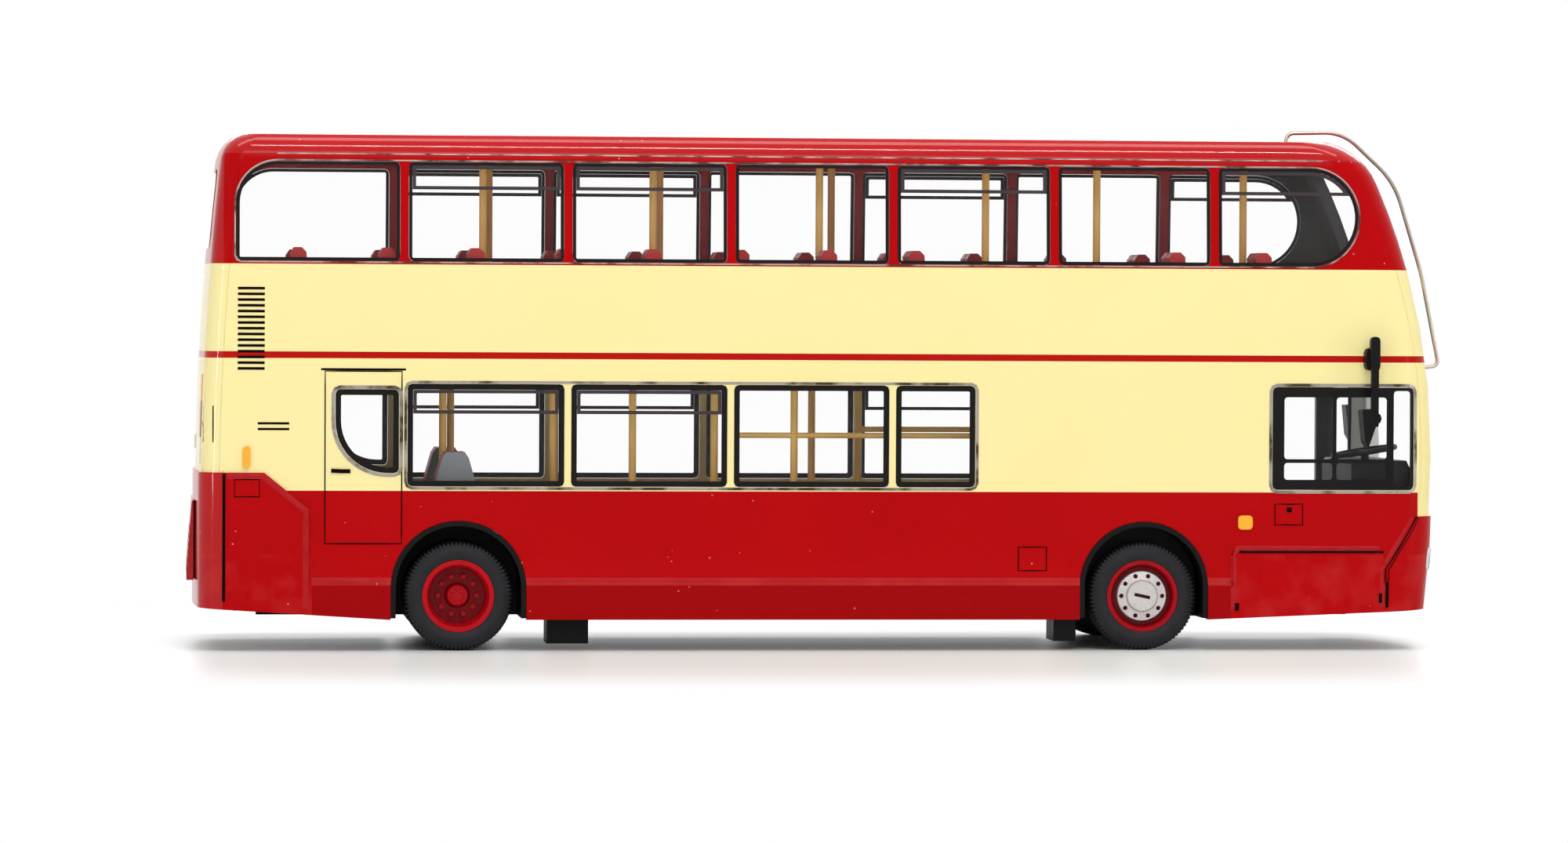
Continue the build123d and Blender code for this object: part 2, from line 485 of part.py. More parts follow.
lower_seats = [seat(x, side * SEAT_Y, floor, LOWER_BACK) for x, floor in LOWER_ROWS for side in (-1, 1)]
lower_seats += pair(side_prism(bench, SEAT_Y - SEAT_W / 2, SEAT_Y + SEAT_W / 2))
node("lower_seats", *lower_seats)

# Stairs behind the driver's cab, rising to the rear
STEPS, STEP_RUN, STAIR_X, STAIR_Z = 8, 2.6, 40.0, ARCH_TOP + 0.3
STAIR_TOP_X, STAIR_TOP_Z = STAIR_X - STEPS * STEP_RUN, UPPER_FLOOR_Z - FLOOR_T
riser = (STAIR_TOP_Z - STAIR_Z) / STEPS
treads = [(STAIR_X, STAIR_Z)]
for k in range(STEPS):
    height = STAIR_Z + (k + 1) * riser
    treads += [(STAIR_X - k * STEP_RUN, height), (STAIR_X - (k + 1) * STEP_RUN, height)]
treads += [(STAIR_TOP_X, STAIR_TOP_Z - riser - 0.6), (STAIR_X - STEP_RUN, STAIR_Z)]
stair_wall = side_prism(area((STAIR_X, LOWER_FLOOR_Z), (STAIR_X, STAIR_Z + 5), (STAIR_TOP_X, STAIR_TOP_Z),
                             (STAIR_TOP_X, LOWER_FLOOR_Z)), -9.0, -8.4)
node("staircase", stair_wall + side_prism(area(*treads), -14.6, -8.9))

# Handrails: upright poles between floor and ceiling, and level rails by the standing space
POLE_R, RAIL_R, POLE_Y = 0.4, 0.3, 7.2
UPPER_POLES = ((-1, (-36.0, -17.8, 0.1, 18.1, 30.2, 46.2)), (1, (-34.6, -15.9, 3.0)))
LOWER_POLES = ((-1, (-40.2, -28.4, -19.9, -11.1, -2.5, 17.0)), (1, (-38.7, -27.3, -9.8, 0.95, 6.1, 19.0)))
LEVEL_RAILS = ((-1, -8.6, 17.0, 22.6), (1, 6.1, 19.0, 23.0))    # side, rear X, front X, height
PLAIN = (Align.CENTER, Align.CENTER, Align.MIN)


def pole(x, y, foot, head):
    return Pos(x, y, foot) * Cylinder(POLE_R, head - foot, align=PLAIN)


ceiling = ROOF_Z - WALL - 0.2
node("upper_handrails", *[pole(x, side * POLE_Y, UPPER_FLOOR_Z, ceiling)
                          for side, row in UPPER_POLES for x in row])
handrails = []
for (side, row), (_, rear, front, z) in zip(LOWER_POLES, LEVEL_RAILS):
    rail = Pos(rear, side * POLE_Y, z) * Rot(0, 90, 0) * Cylinder(RAIL_R, front - rear, align=PLAIN)
    poles = [pole(x, side * POLE_Y, PLATFORM_Z if x < PLATFORM_X else LOWER_FLOOR_Z, UPPER_FLOOR_Z - FLOOR_T)
             for x in row]
    handrails += rail.fuse(*poles).solids()
node("lower_handrails", *handrails)

# Driver's place
DRIVER_Y = -9.5
dash = side_prism(area((57.0, LOWER_FLOOR_Z), (64.6, LOWER_FLOOR_Z), (64.6, 17.0), (63.0, 20.2), (57.4, 20.2),
                       (57.0, 19.8)), DRIVER_Y - 4.0, DRIVER_Y + 12)
dash &= form(WALL + SHEET + 0.3)
screen = block((46.0, 46.6), (-14.6, -4.0), (LOWER_FLOOR_Z, 17.0))
node("driver_cab", dash, screen)
driver_seat = seat(49.0, DRIVER_Y, LOWER_FLOOR_Z, rise=8.6, step=5.0)
node("driver_seat", driver_seat & block((0, FAR), (DRIVER_Y - 2.4, DRIVER_Y + 2.4), (0, FAR)))
WHEEL_TILT, WHEEL_R = -9, 3.35
rim = revolve(Plane.XZ * Pos(WHEEL_R, 0) * RegularPolygon(0.3, 6), Axis.Z)
spokes = Box(2 * WHEEL_R - 0.2, 0.5, 0.3) + Box(0.5, 2 * WHEEL_R - 0.2, 0.3)
column = Cylinder(0.45, 3, align=(Align.CENTER, Align.CENTER, Align.MAX))
steering = Pos(59.2, DRIVER_Y, 21.1) * Rot(0, WHEEL_TILT, 0) * (rim + spokes + column)
node("steering_wheel", steering - dash)

# Outside fittings
MIRROR_Y = 18.4
MIRRORS = ((-1, 58.5), (1, 64.2))               # side and place of the arm; one hangs at the front corner
mirrors = []
for side, x in MIRRORS:
    foot = side_prism(window(x - 0.9, x + 0.3, 29.9, 32.3), side * 13, side * (MIRROR_Y - 0.4))
    cap = window(x - 0.5, x + 0.5, 29.9, 33.5, (0.4,) * 4)
    arm = side_prism(cap, side * (MIRROR_Y - 0.5), side * (MIRROR_Y + 0.4))
    stem = window(x - 0.38, x + 0.38, 23.9, 30.4, (0.15,) * 4)
    arm += side_prism(stem, side * (MIRROR_Y - 0.4), side * (MIRROR_Y + 0.3))
    knuckle = window(x - 0.6, x + 0.6, 24.2, 25.4)
    knuckle = side_prism(knuckle, side * (MIRROR_Y - 0.6), side * (MIRROR_Y + 0.7))
    wedge = area((x - 1.6, 25.7), (x - 0.45, 25.8), (x - 0.1, 24.0), (x - 0.9, 21.7), (x - 1.3, 22.4))
    head = side_prism(wedge, side * (MIRROR_Y - 1.1), side * (MIRROR_Y + 1.3))
    mirrors.append((foot + arm + knuckle + head) - outer)
node("mirrors", *mirrors)

GUARD_Y, GUARD_R = -9.6, 0.21
guard_path = FilletPolyline((50.3, 53.4), (50.5, 55.35), (56.6, 55.5), (62.3, 50.2), (65.3, 40.4),
                            (67.3, 30.4), (65.2, 30.1), radius=[0.8, 5.0, 9.0, 30.0, 0.6])
guard_wire = Plane((0, GUARD_Y, 0), x_dir=(1, 0, 0), z_dir=(0, -1, 0)) * guard_path
guard = sweep(Plane(guard_wire @ 0, z_dir=guard_wire % 0) * RegularPolygon(GUARD_R, 8), guard_wire)
node("branch_guard", guard - outer)

LAMP_Y, LAMP_Z = 11.6, 9.6
LAMP = ((-2.9, -1.5), (2.9, -1.1), (2.9, 1.3), (-2.9, 1.5))
lamp = front_prism(rounded([(LAMP_Y + y, LAMP_Z + z) for y, z in LAMP], 0.6), 55, FAR)
lens = (form(-PROUD - 0.15) - swollen) & lamp
node("head_lamps", *[s for x in pair(lens) for s in x.solids()])
rear_lamp = front_prism(window(11.9, 13.9, 19.6, 29.0, (0.4,) * 4), -FAR, -60)
tail = (form(-0.08) - outer) & rear_lamp
node("rear_lamps", *[s for x in pair(tail) for s in x.solids()])
AMBER = ((44.1, 45.65, 12.9, 14.4), (-61.55, -60.75, 19.2, 21.5))
ambers = []
for x0, x1, z0, z1 in AMBER:
    lens = side_prism(window(x0, x1, z0, z1, (0.35,) * 4), HALF_WIDTH + 0.06, HALF_WIDTH + 0.3)
    ambers += pair(lens)
node("amber_lamps", *ambers)
PLATE = window(-3.4, 3.4, 5.4, 6.9, (0.15,) * 4)
plate = (form(-PROUD - 0.12) - swollen) & front_prism(PLATE, 50, FAR)
rear_plate = (form(-0.12) - outer) & front_prism(window(-3.4, 3.4, 21.0, 22.5, (0.15,) * 4), -FAR, -50)
node("number_plates", plate, rear_plate)
wipers = []
for y in (-9.5, 2.5):
    blade = front_prism(rounded([(y, 17.0), (y + 7.5, 18.6), (y + 7.4, 19.0), (y - 0.1, 17.5)], 0.12), 55, FAR)
    wipers += ((form(0.02) - glass_face) & blade).solids()
node("wipers", *wipers)


# Wheels: profiles as outward offset from the tyre's middle and radius
def turned(points, x, middle, side):
    face = Plane((x, 0, AXLE_Z), x_dir=(0, 1, 0), z_dir=(1, 0, 0)) * area(
        *[(side * (middle + u), r) for u, r in points])
    return revolve(face, Axis((x, 0, AXLE_Z), (0, 1, 0)))


MIDDLE = WHEEL_FACE - TYRE_W / 2
LIP = TYRE_W / 2 - 0.15
TYRE = ((-LIP, RIM_R), (-TYRE_W / 2, TYRE_R), (TYRE_W / 2, TYRE_R), (LIP, RIM_R))
PIN_END = 0.2
NUTS, NUT_RING = 10, 2.2
FRONT_RIM = ((-LIP, RIM_R), (LIP, RIM_R), (LIP, 3.4), (0.8, 3.1), (0.8, 0), (PIN_END, 0), (PIN_END, AXLE_R),
             (-LIP, AXLE_R))
TRIM = ((0.8, 0), (0.8, 2.72), (1.2, 2.6), (1.35, 1.75), (1.6, 1.55), (1.6, 0))
HUB_END = -TWIN_PITCH - LIP
REAR_RIM = ((LIP, RIM_R), (LIP, 3.3), (0.9, 3.1), (-0.9, 2.9), (-0.9, 1.35), (0.1, 1.05), (0.1, 0), (-0.6, 0),
            (-0.6, AXLE_R), (HUB_END, AXLE_R), (HUB_END, RIM_R))
HUB_BOLTS, BOLT_RING = 8, 0.72


def ring_of(count, radius, bar, x, y):
    """Copies of a bar that lies along Y, spread round an axle line."""
    return [Pos(x, y, AXLE_Z) * Rot(0, 360 / count * k, 0) * Pos(radius, 0, 0) * Rot(90, 0, 0) * bar
            for k in range(count)]


stud_hole = extrude(RegularPolygon(0.25, 8), 1, both=True)
nut = extrude(RegularPolygon(0.3, 6), 0.45, both=True)
bolt = extrude(RegularPolygon(0.17, 6), 0.2, both=True)
front_rims, front_trims, rear_rims = [], [], []
for side in (-1, 1):
    front_rims.append(turned(FRONT_RIM, FRONT_AXLE_X, MIDDLE, side))
    holes = ring_of(NUTS, NUT_RING, stud_hole, FRONT_AXLE_X, side * (MIDDLE + 1.2))
    slot = Pos(FRONT_AXLE_X, side * (MIDDLE + 1.6), AXLE_Z) * Rot(0, 12, 0) * Box(1.7, 0.3, 0.35)
    front_trims.append(turned(TRIM, FRONT_AXLE_X, MIDDLE, side) - holes - slot)
    nuts = ring_of(NUTS, NUT_RING - 0.15, nut, REAR_AXLE_X, side * (MIDDLE - 0.7))
    nuts += ring_of(HUB_BOLTS, BOLT_RING, bolt, REAR_AXLE_X, side * (MIDDLE + 0.1))
    rear_rims.append(turned(REAR_RIM, REAR_AXLE_X, MIDDLE, side).fuse(*nuts))
node("front_rims", *front_rims)
node("front_trims", *front_trims)
node("rear_rims", *rear_rims)
node("front_tyres", *[turned(TYRE, FRONT_AXLE_X, MIDDLE, side) for side in (-1, 1)])
node("rear_tyres", *[turned(TYRE, REAR_AXLE_X, y, side)
                     for side in (-1, 1) for y in (MIDDLE, MIDDLE - TWIN_PITCH)])
pin = Rot(90, 0, 0) * Cylinder(AXLE_R, 2 * (MIDDLE + PIN_END))
node("front_axle_pin", Pos(FRONT_AXLE_X, 0, AXLE_Z) * pin)
rear_pin = Rot(90, 0, 0) * Cylinder(AXLE_R, 2 * (MIDDLE - 0.6))
node("rear_axle_pin", Pos(REAR_AXLE_X, 0, AXLE_Z) * rear_pin)

os.makedirs("parts", exist_ok=True)
for name, solids in NODES.items():
    export_step(solids[0] if len(solids) == 1 else Compound(solids), f"parts/{name}.step")
    print(name, len(solids), round(sum(s.volume for s in solids), 1))
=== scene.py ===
# %% [markdown]
# # A die-cast model bus in Blender
# The solid pieces of the bus come from the CAD frame, already in place and in metres. This lesson
# paints them, adds the thin printed and pressed details that a CAD model leaves off, and lights them
# like a small product on a white table.

# %% Load the frame
from math import cos, pi, radians, sin

import bmesh
import bpy
import numpy as np
from mathutils import Matrix, Vector, geometry
from mathutils.bvhtree import BVHTree


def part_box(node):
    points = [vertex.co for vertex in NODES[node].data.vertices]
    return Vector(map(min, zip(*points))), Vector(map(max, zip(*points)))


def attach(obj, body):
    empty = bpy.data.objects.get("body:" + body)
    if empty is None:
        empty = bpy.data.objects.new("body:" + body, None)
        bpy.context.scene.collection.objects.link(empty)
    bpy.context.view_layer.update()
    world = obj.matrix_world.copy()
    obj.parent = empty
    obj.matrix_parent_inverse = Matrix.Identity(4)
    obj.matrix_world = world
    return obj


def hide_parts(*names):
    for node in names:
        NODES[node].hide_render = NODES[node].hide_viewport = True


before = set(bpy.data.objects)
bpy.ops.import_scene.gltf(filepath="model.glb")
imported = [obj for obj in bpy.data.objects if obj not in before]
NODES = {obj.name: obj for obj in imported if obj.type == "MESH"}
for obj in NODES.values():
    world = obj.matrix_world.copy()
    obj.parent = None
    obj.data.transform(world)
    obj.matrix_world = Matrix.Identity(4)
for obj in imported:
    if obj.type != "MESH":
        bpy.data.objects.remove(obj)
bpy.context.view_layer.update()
MM = 0.001

# %% [markdown]
# ## Node graphs as Python sums
# A livery is mostly arithmetic on a point's place: red above this height, cream below it. Blender can
# do that with Math nodes, but a picture of thirty boxes is hard to read. So one small class wraps a
# socket and turns `z > 40` into a Math node. A second class owns a node tree, and a third adds the
# main shader of a material.


# %% A socket that can be used in a sum
class Value:
    """A socket that knows its graph, so that a sum of sockets adds nodes to it."""

    def __init__(self, graph, socket):
        self.graph, self.socket = graph, socket

    def maths(self, operation, first, second=0.0):
        return self.graph.add("ShaderNodeMath", {"operation": operation}, {0: first, 1: second})

    def __add__(self, other):
        return self.maths("ADD", self, other)

    def __sub__(self, other):
        return self.maths("SUBTRACT", self, other)

    def __rsub__(self, other):
        return self.maths("SUBTRACT", other, self)

    def __mul__(self, other):
        return self.maths("MULTIPLY", self, other)

    def __gt__(self, other):
        return self.maths("GREATER_THAN", self, other)

    def __lt__(self, other):
        return self.maths("LESS_THAN", self, other)

    def __or__(self, other):
        return self.maths("MAXIMUM", self, other)

    __radd__, __rmul__, __and__ = __add__, __mul__, __mul__


print("sums of sockets ready")


# %% A node tree that is built from Python
class Graph:
    """A node tree; a method adds nodes to it and gives back an output as a Value."""

    def __init__(self, tree):
        self.tree = tree

    def feed(self, socket, value):
        if isinstance(value, Value):
            self.tree.links.new(value.socket, socket)
        else:
            socket.default_value = value

    def add(self, kind, settings=None, inputs=None, output=0):
        """One node with its settings and inputs; gives back one of its outputs."""
        node = self.tree.nodes.new(kind)
        for key, value in (settings or {}).items():
            setattr(node, key, value)
        for key, value in (inputs or {}).items():
            self.feed(node.inputs[key], value)
        return Value(self, node.outputs[output])

    def mix(self, mask, colour, other):
        """The first colour where the mask is 0, the other where it is 1."""
        return self.add("ShaderNodeMix", {"data_type": "RGBA"}, {0: mask, 6: colour, 7: other}, 2)

    def spread_over(self, value, low, high, **settings):
        """The value stretched so that low becomes 0 and high becomes 1, and held there outside them."""
        return self.add("ShaderNodeMapRange", settings, {0: value, 1: low, 2: high})

    def seen(self):
        """1 for rays that show a surface, directly, in a mirror or through glass, and 0 for rays of light."""
        camera, glossy, clear = [self.add("ShaderNodeLightPath", output="Is %s Ray" % kind)
                                 for kind in ("Camera", "Glossy", "Transmission")]
        return camera | glossy | clear


# %% A material that owns its nodes
class Finish(Graph):
    """A material with its main shader; constants are named as the shader's sockets are."""

    def __init__(self, name, colour, **constants):
        self.material = bpy.data.materials.new(name)
        self.material.use_nodes = True
        super().__init__(self.material.node_tree)
        self.skin = self.tree.nodes["Principled BSDF"]
        self.colour = colour
        self.set("Base Color", colour)
        for socket, value in constants.items():
            self.set(socket.replace("_", " "), value)

    def set(self, socket, value):
        self.feed(self.skin.inputs[socket], value)

    def place(self):
        """The point's X, Y and Z on the bus, in millimetres."""
        point = self.add("ShaderNodeTexCoord", output="Object")
        return [self.add("ShaderNodeSeparateXYZ", inputs={0: point}, output=k) * (1 / MM) for k in range(3)]

    def noise(self, size_mm, detail=2.0):
        point = self.add("ShaderNodeTexCoord", output="Object")
        return self.add("ShaderNodeTexNoise",
                        inputs={"Vector": point, "Scale": 1 / (size_mm * MM), "Detail": detail})

    def specks(self, spread_mm, size):
        """1 on small scattered dots, 0 elsewhere."""
        point = self.add("ShaderNodeTexCoord", output="Object")
        return self.add("ShaderNodeTexVoronoi", inputs={"Vector": point, "Scale": 1 / (spread_mm * MM)}) < size

    def bump(self, height, strength, depth_mm, edge_mm=0.0):
        """Raise the surface a little by a height, and soften its edges when an edge radius is given."""
        inputs = {"Strength": strength, "Distance": depth_mm * MM, "Height": height}
        if edge_mm:
            inputs["Normal"] = self.add("ShaderNodeBevel", {"samples": 4}, {"Radius": edge_mm * MM})
        self.set("Normal", self.add("ShaderNodeBump", inputs=inputs))

    def worn(self, size_mm, other, rough, swing, bump=0.1):
        """A moulded surface: two near colours in soft patches, uneven gloss and a fine grain."""
        patch = self.noise(size_mm)
        self.set("Base Color", self.mix(patch, self.colour, other))
        self.set("Roughness", rough + swing * self.noise(size_mm / 4))
        self.bump(self.noise(size_mm / 12), bump, 0.02)
        return self


def srgb(red, green, blue):
    """A colour as a screen shows it, 0 to 255, turned into the linear values that a shader takes."""
    linear = [c / 255 / 12.92 if c < 10.3 else ((c / 255 + 0.055) / 1.055) ** 2.4 for c in (red, green, blue)]
    return (*linear, 1.0)


def dress(finish, *names):
    """Give CAD nodes one material."""
    for name in names:
        mesh = NODES[name].data
        mesh.materials.clear()
        mesh.materials.append(finish.material)


print("node helpers ready")

# %% [markdown]
# ## Soft shading on the castings
# The CAD form is made of many narrow bands round the nose and the roof edge. On the real casting they
# are one polished curve. A small Geometry Nodes modifier joins the bands' points and shades every
# shallow edge smooth, while window edges and seams stay crisp. A modifier leaves the CAD mesh itself
# as it was.

# %% Smooth the shallow edges
soft_tree = bpy.data.node_groups.new("soft_shading", "GeometryNodeTree")
for way in ("INPUT", "OUTPUT"):
    soft_tree.interface.new_socket("Geometry", in_out=way, socket_type="NodeSocketGeometry")
soft = Graph(soft_tree)
SHALLOW, SAME_POINT = radians(26), 1e-7     # an angle, and a distance in metres
solid = soft.add("GeometryNodeMergeByDistance",
                 inputs={"Geometry": soft.add("NodeGroupInput"), "Distance": SAME_POINT})
solid = soft.add("GeometryNodeRemoveAttribute", inputs={"Geometry": solid, "Name": "custom_normal"})
solid = soft.add("GeometryNodeSetShadeSmooth", inputs={"Geometry": solid})
shallow = soft.add("FunctionNodeCompare", {"operation": "LESS_THAN"},
                   {0: soft.add("GeometryNodeInputMeshEdgeAngle"), 1: SHALLOW})
solid = soft.add("GeometryNodeSetShadeSmooth", {"domain": "EDGE"}, {"Geometry": solid, "Shade Smooth": shallow})
soft.feed(soft_tree.nodes.new("NodeGroupOutput").inputs[0], solid)
CASTINGS = ("roof_casting", "offside_casting", "nearside_casting", "front_casting", "rear_casting",
            "front_bumper", "rear_bumper", "engine_cover")
GLAZING = ("offside_upper_glazing", "offside_lower_glazing", "nearside_upper_glazing", "nearside_lower_glazing",
           "upper_windscreen", "lower_windscreen", "rear_window", "door_glazing")
SMOOTHED = CASTINGS + GLAZING + ("head_lamps", "destination_panel")
for name in SMOOTHED:
    NODES[name].modifiers.new("soft_shading", "NODES").node_group = soft_tree
print("soft shading on", len(SMOOTHED), "nodes")

# %% [markdown]
# ## The livery
# The real model is cast in zinc and sprayed twice: red all over, then cream through a mask. The cream
# band sits between the two rows of windows and runs down to the waist rail, with a thin red line along
# it. A mask by height and length gives the same hard edges on every casting at once, so the colours
# meet across the seams, and it needs no image. Below the crease the skirt is darkened with painted
# shade, a pale band of painted highlight runs just under the crease, and the low end panels carry
# patches of painted reflection. Lacquer gathers on the round roof edge and the rear posts, so the clear
# coat is stronger there. A few specks of dust and a Bevel node, which rounds the casting's edges in the
# shading alone, keep it from looking like flat ink.

# %% Colours and edges of the livery, in millimetres
RED, CREAM, STRIPE = srgb(188, 2, 8), srgb(252, 237, 172), srgb(184, 18, 10)
RED_DEEP, CREAM_DEEP = srgb(172, 0, 5), srgb(250, 233, 162)
# RED_SHADED is painted shade, the pale red is painted highlight and painted reflection, DUST is dust
RED_SHADED, RED_PAINTED_SHEEN, DUST = srgb(150, 0, 4), srgb(205, 62, 62), srgb(255, 205, 195)
UPPER_EDGE, LOWER_EDGE = 40.62, 16.85       # the cream lies between these heights
STRIPE_LOW, STRIPE_HIGH = 30.74, 31.44
FRONT_X, FRONT_EDGE = 63.75, 14.3           # ahead of this the cream runs down to the bumper
QUARTER_X, QUARTER_TOP, QUARTER_SLOPE = -59.3, 18.72, 0.81
QUARTER_FRONT = -54.6                       # front end of the raised rear quarter panel
CREASE, SKIRT_REAR, SKIRT_FRONT = 7.7, -54.3, 43.4     # the skirt turns in below the crease
SHEEN_BAND_WIDTH = 0.8                          # of the painted highlight band below the crease
REFLECTION_TOP = 10.2                             # below this the end panels get patches of painted reflection
ROOF_JOINT, REAR_POST = 52.2, -63.6         # the roof starts at this height, the rear posts at this X
COAT, COAT_ROUND = 0.07, 0.4                # clear coat all over, and what the round edges have more
HARDLY_SHINY = 0.03                         # specular level of the paint and of printed lines
SKIRT_SHARE, REFLECTION_SHARE, DUST_SHARE = 0.7, 0.3, 0.35   # how much of each colour shows at most
DUST_SPREAD, DUST_SIZE, DUST_FREE = 1.5, 0.06, 0.52    # specks, and the noise below which there are none
print("cream from", LOWER_EDGE, "to", UPPER_EDGE, "mm")


# %% Two-tone paint
def two_tone(name):
    """Two-tone by place, with painted shade, highlight and reflection low down, and more coat on round edges."""
    paint = Finish(name, RED, Specular_IOR_Level=HARDLY_SHINY, Coat_Roughness=0.05)
    x, _, z = paint.place()
    low_edge = FRONT_EDGE + (x < FRONT_X) * (LOWER_EDGE - FRONT_EDGE)
    quarter = (z < QUARTER_TOP) & (z < QUARTER_TOP - QUARTER_SLOPE * (x - QUARTER_X)) & (x < QUARTER_FRONT)
    red = (z > UPPER_EDGE) | (z < low_edge) | quarter
    line = (z > STRIPE_LOW) & (z < STRIPE_HIGH)
    paint.set("Coat Weight", COAT + COAT_ROUND * ((z > ROOF_JOINT) | (x < REAR_POST)))
    patch = paint.noise(14, 3)
    cream = paint.mix(line, paint.mix(patch, CREAM, CREAM_DEEP), STRIPE)
    wall = (x > SKIRT_REAR) & (x < SKIRT_FRONT)
    # painted shade: the skirt below the crease is darkened
    skirt = paint.mix((z < CREASE) & wall * SKIRT_SHARE, paint.mix(patch, RED, RED_DEEP), RED_SHADED)
    # painted highlight: a pale band just under the crease
    wear_and_sheen = wall & (z < CREASE) & (z > CREASE - SHEEN_BAND_WIDTH) & (0.1 + 0.4 * paint.noise(3))
    ends = (x > SKIRT_FRONT) | (x < SKIRT_REAR)
    # painted reflection: pale patches low on the end panels
    painted_reflection = paint.spread_over(paint.noise(3.5, 4), 0.46, 0.74)
    wear_and_sheen = wear_and_sheen | (painted_reflection & ends & (z < REFLECTION_TOP) * REFLECTION_SHARE)
    colour = paint.mix(red, cream, paint.mix(wear_and_sheen, skirt, RED_PAINTED_SHEEN))
    dust = red & paint.specks(DUST_SPREAD, DUST_SIZE) & (paint.noise(5) > DUST_FREE)
    paint.colour = paint.mix(dust * DUST_SHARE, colour, DUST)
    paint.set("Base Color", paint.colour)
    paint.set("Roughness", 0.2 + 0.12 * paint.noise(6))
    paint.bump(paint.noise(2.5, 1), 0.01, 0.05, edge_mm=0.12)
    return paint


paint = two_tone("two_tone_paint")
dress(paint, *CASTINGS)
print("painted", len(CASTINGS), "castings")

# %% [markdown]
# Inside the front end the inward faces are coloured dark grey upstairs and pale downstairs, and near
# black on the entrance pillars, which shows through the side windows. A face looks inwards where its
# normal points back to the middle of the bus.

# %% Where the linings are, in millimetres
ENTRANCE_X, PILLAR_X, NOSE_X = 40, 61, 50   # rear of the entrance, pillar ahead of it, upper front
DECK_Z = 35                                 # between downstairs and upstairs
LENGTHWISE = 0.2                            # weight of X against Y, as the bus is long and narrow
PALE_LINING, DARK_LINING, BLACK_LINING = srgb(245, 244, 240), srgb(58, 56, 56), srgb(34, 31, 31)
print("upper lining from X", NOSE_X, "mm")


# %% Inside of the front end
def lined(name, entrance):
    """Two-tone paint outside; inside dark at the front upstairs, and two colours downstairs."""
    lining = two_tone(name)
    x, y, z = lining.place()
    way = lining.add("ShaderNodeTexCoord", output="Normal")
    back, across = [lining.add("ShaderNodeSeparateXYZ", inputs={0: way}, output=k) for k in range(2)]
    inward = x * back * LENGTHWISE + y * across < 0
    upstairs = lining.mix(inward & (z > DECK_Z) & (x > NOSE_X), lining.colour, DARK_LINING)
    saloon = lining.mix(x > PILLAR_X, entrance, PALE_LINING)
    lining.set("Base Color", lining.mix(inward & (z < DECK_Z) & (x > ENTRANCE_X), upstairs, saloon))
    return lining


dress(lined("front_paint", PALE_LINING), "front_casting")
dress(lined("entrance_paint", BLACK_LINING), "nearside_casting")
print("lined the front end")

# %% [markdown]
# ## Plastics, glass and metal
# Everything else on such a model is moulded in one colour: clear glazing, black chassis, ochre
# handrails, dark red seats. Clear plastic could be made with refraction, but a thin flat pane hardly
# bends light, and a low Alpha keeps the saloon bright and free of noise. The moulded plastics get soft
# patches and a fine grain, as runs of the same plastic have.

# %% Glass and plastics
glazing = Finish("clear_glazing", (0.95, 0.96, 0.96, 1), Alpha=0.012, IOR=1.5)
glazing.set("Roughness", 0.02 + 0.08 * glazing.noise(4))
dress(glazing, *GLAZING)
MATT = 0.12                                 # specular level of dark plastics, so that they stay dark
gasket = Finish("black_gasket", srgb(24, 20, 20), Specular_IOR_Level=MATT).worn(3, srgb(14, 12, 12), 0.28, 0.15)
dress(gasket, "window_frames", "entrance_doors", "destination_panel")
opening_light = Finish("grey_opening_light", srgb(70, 60, 63), Specular_IOR_Level=MATT)
dress(opening_light.worn(3, srgb(56, 48, 51), 0.3, 0.2), "hopper_frames")
black = Finish("black_plastic", srgb(17, 15, 15), Specular_IOR_Level=MATT).worn(4, srgb(10, 9, 9), 0.35, 0.2, 0.2)
dress(black, "chassis_base", "front_arch_liners", "rear_arch_liners", "mirrors", "wipers", "screw_posts",
      "driver_cab", "driver_seat", "steering_wheel")
deck = Finish("deck_plastic", srgb(196, 193, 188)).worn(6, srgb(178, 175, 170), 0.5, 0.2)
dress(deck, "lower_floor", "upper_floor", "staircase")
rail = Finish("ochre_handrail", srgb(255, 212, 120), Specular_IOR_Level=0.3).worn(5, srgb(252, 198, 104), 0.3, 0.2)
dress(rail, "upper_handrails", "lower_handrails")
print("finishes so far:", len(bpy.data.materials))

# %% [markdown]
# ### Wire and lamps
# The guard in front of the upper windscreen is bent from real wire. The tail lamps are one moulding
# painted in three colours, amber at the top, red and clear at the foot, so their height sets the colour.

# %% Wire, lamps and plates
LAMP_RED, LAMP_RED_DEEP, LAMP_AMBER, LAMP_CLEAR = (srgb(176, 12, 14), srgb(140, 8, 10), srgb(240, 160, 40),
                                                   srgb(225, 225, 222))
AMBER_FROM, CLEAR_BELOW = 26.2, 22.4        # heights on the tail lamps
wire = Finish("bright_wire", srgb(196, 184, 170), Metallic=0.8).worn(2, srgb(166, 154, 142), 0.25, 0.2)
dress(wire, "branch_guard", "front_axle_pin", "rear_axle_pin")
dress(Finish("lamp_glass", srgb(225, 228, 230)).worn(2, srgb(200, 205, 210), 0.06, 0.05), "head_lamps")
tail = Finish("lamp_red", LAMP_RED).worn(2, LAMP_RED_DEEP, 0.08, 0.1)
tail_z = tail.place()[2]
tail_red = tail.mix(tail.noise(2), LAMP_RED, LAMP_RED_DEEP)
tail_top = tail.mix(tail_z > AMBER_FROM, tail_red, LAMP_AMBER)
tail.set("Base Color", tail.mix(tail_z < CLEAR_BELOW, tail_top, LAMP_CLEAR))
dress(tail, "rear_lamps")
dress(Finish("lamp_amber", srgb(253, 184, 35)).worn(1, srgb(248, 166, 24), 0.1, 0.1), "amber_lamps")
dress(Finish("bare_plate", srgb(236, 233, 220)).worn(2, srgb(226, 222, 206), 0.3, 0.1), "number_plates")
print("finishes so far:", len(bpy.data.materials))

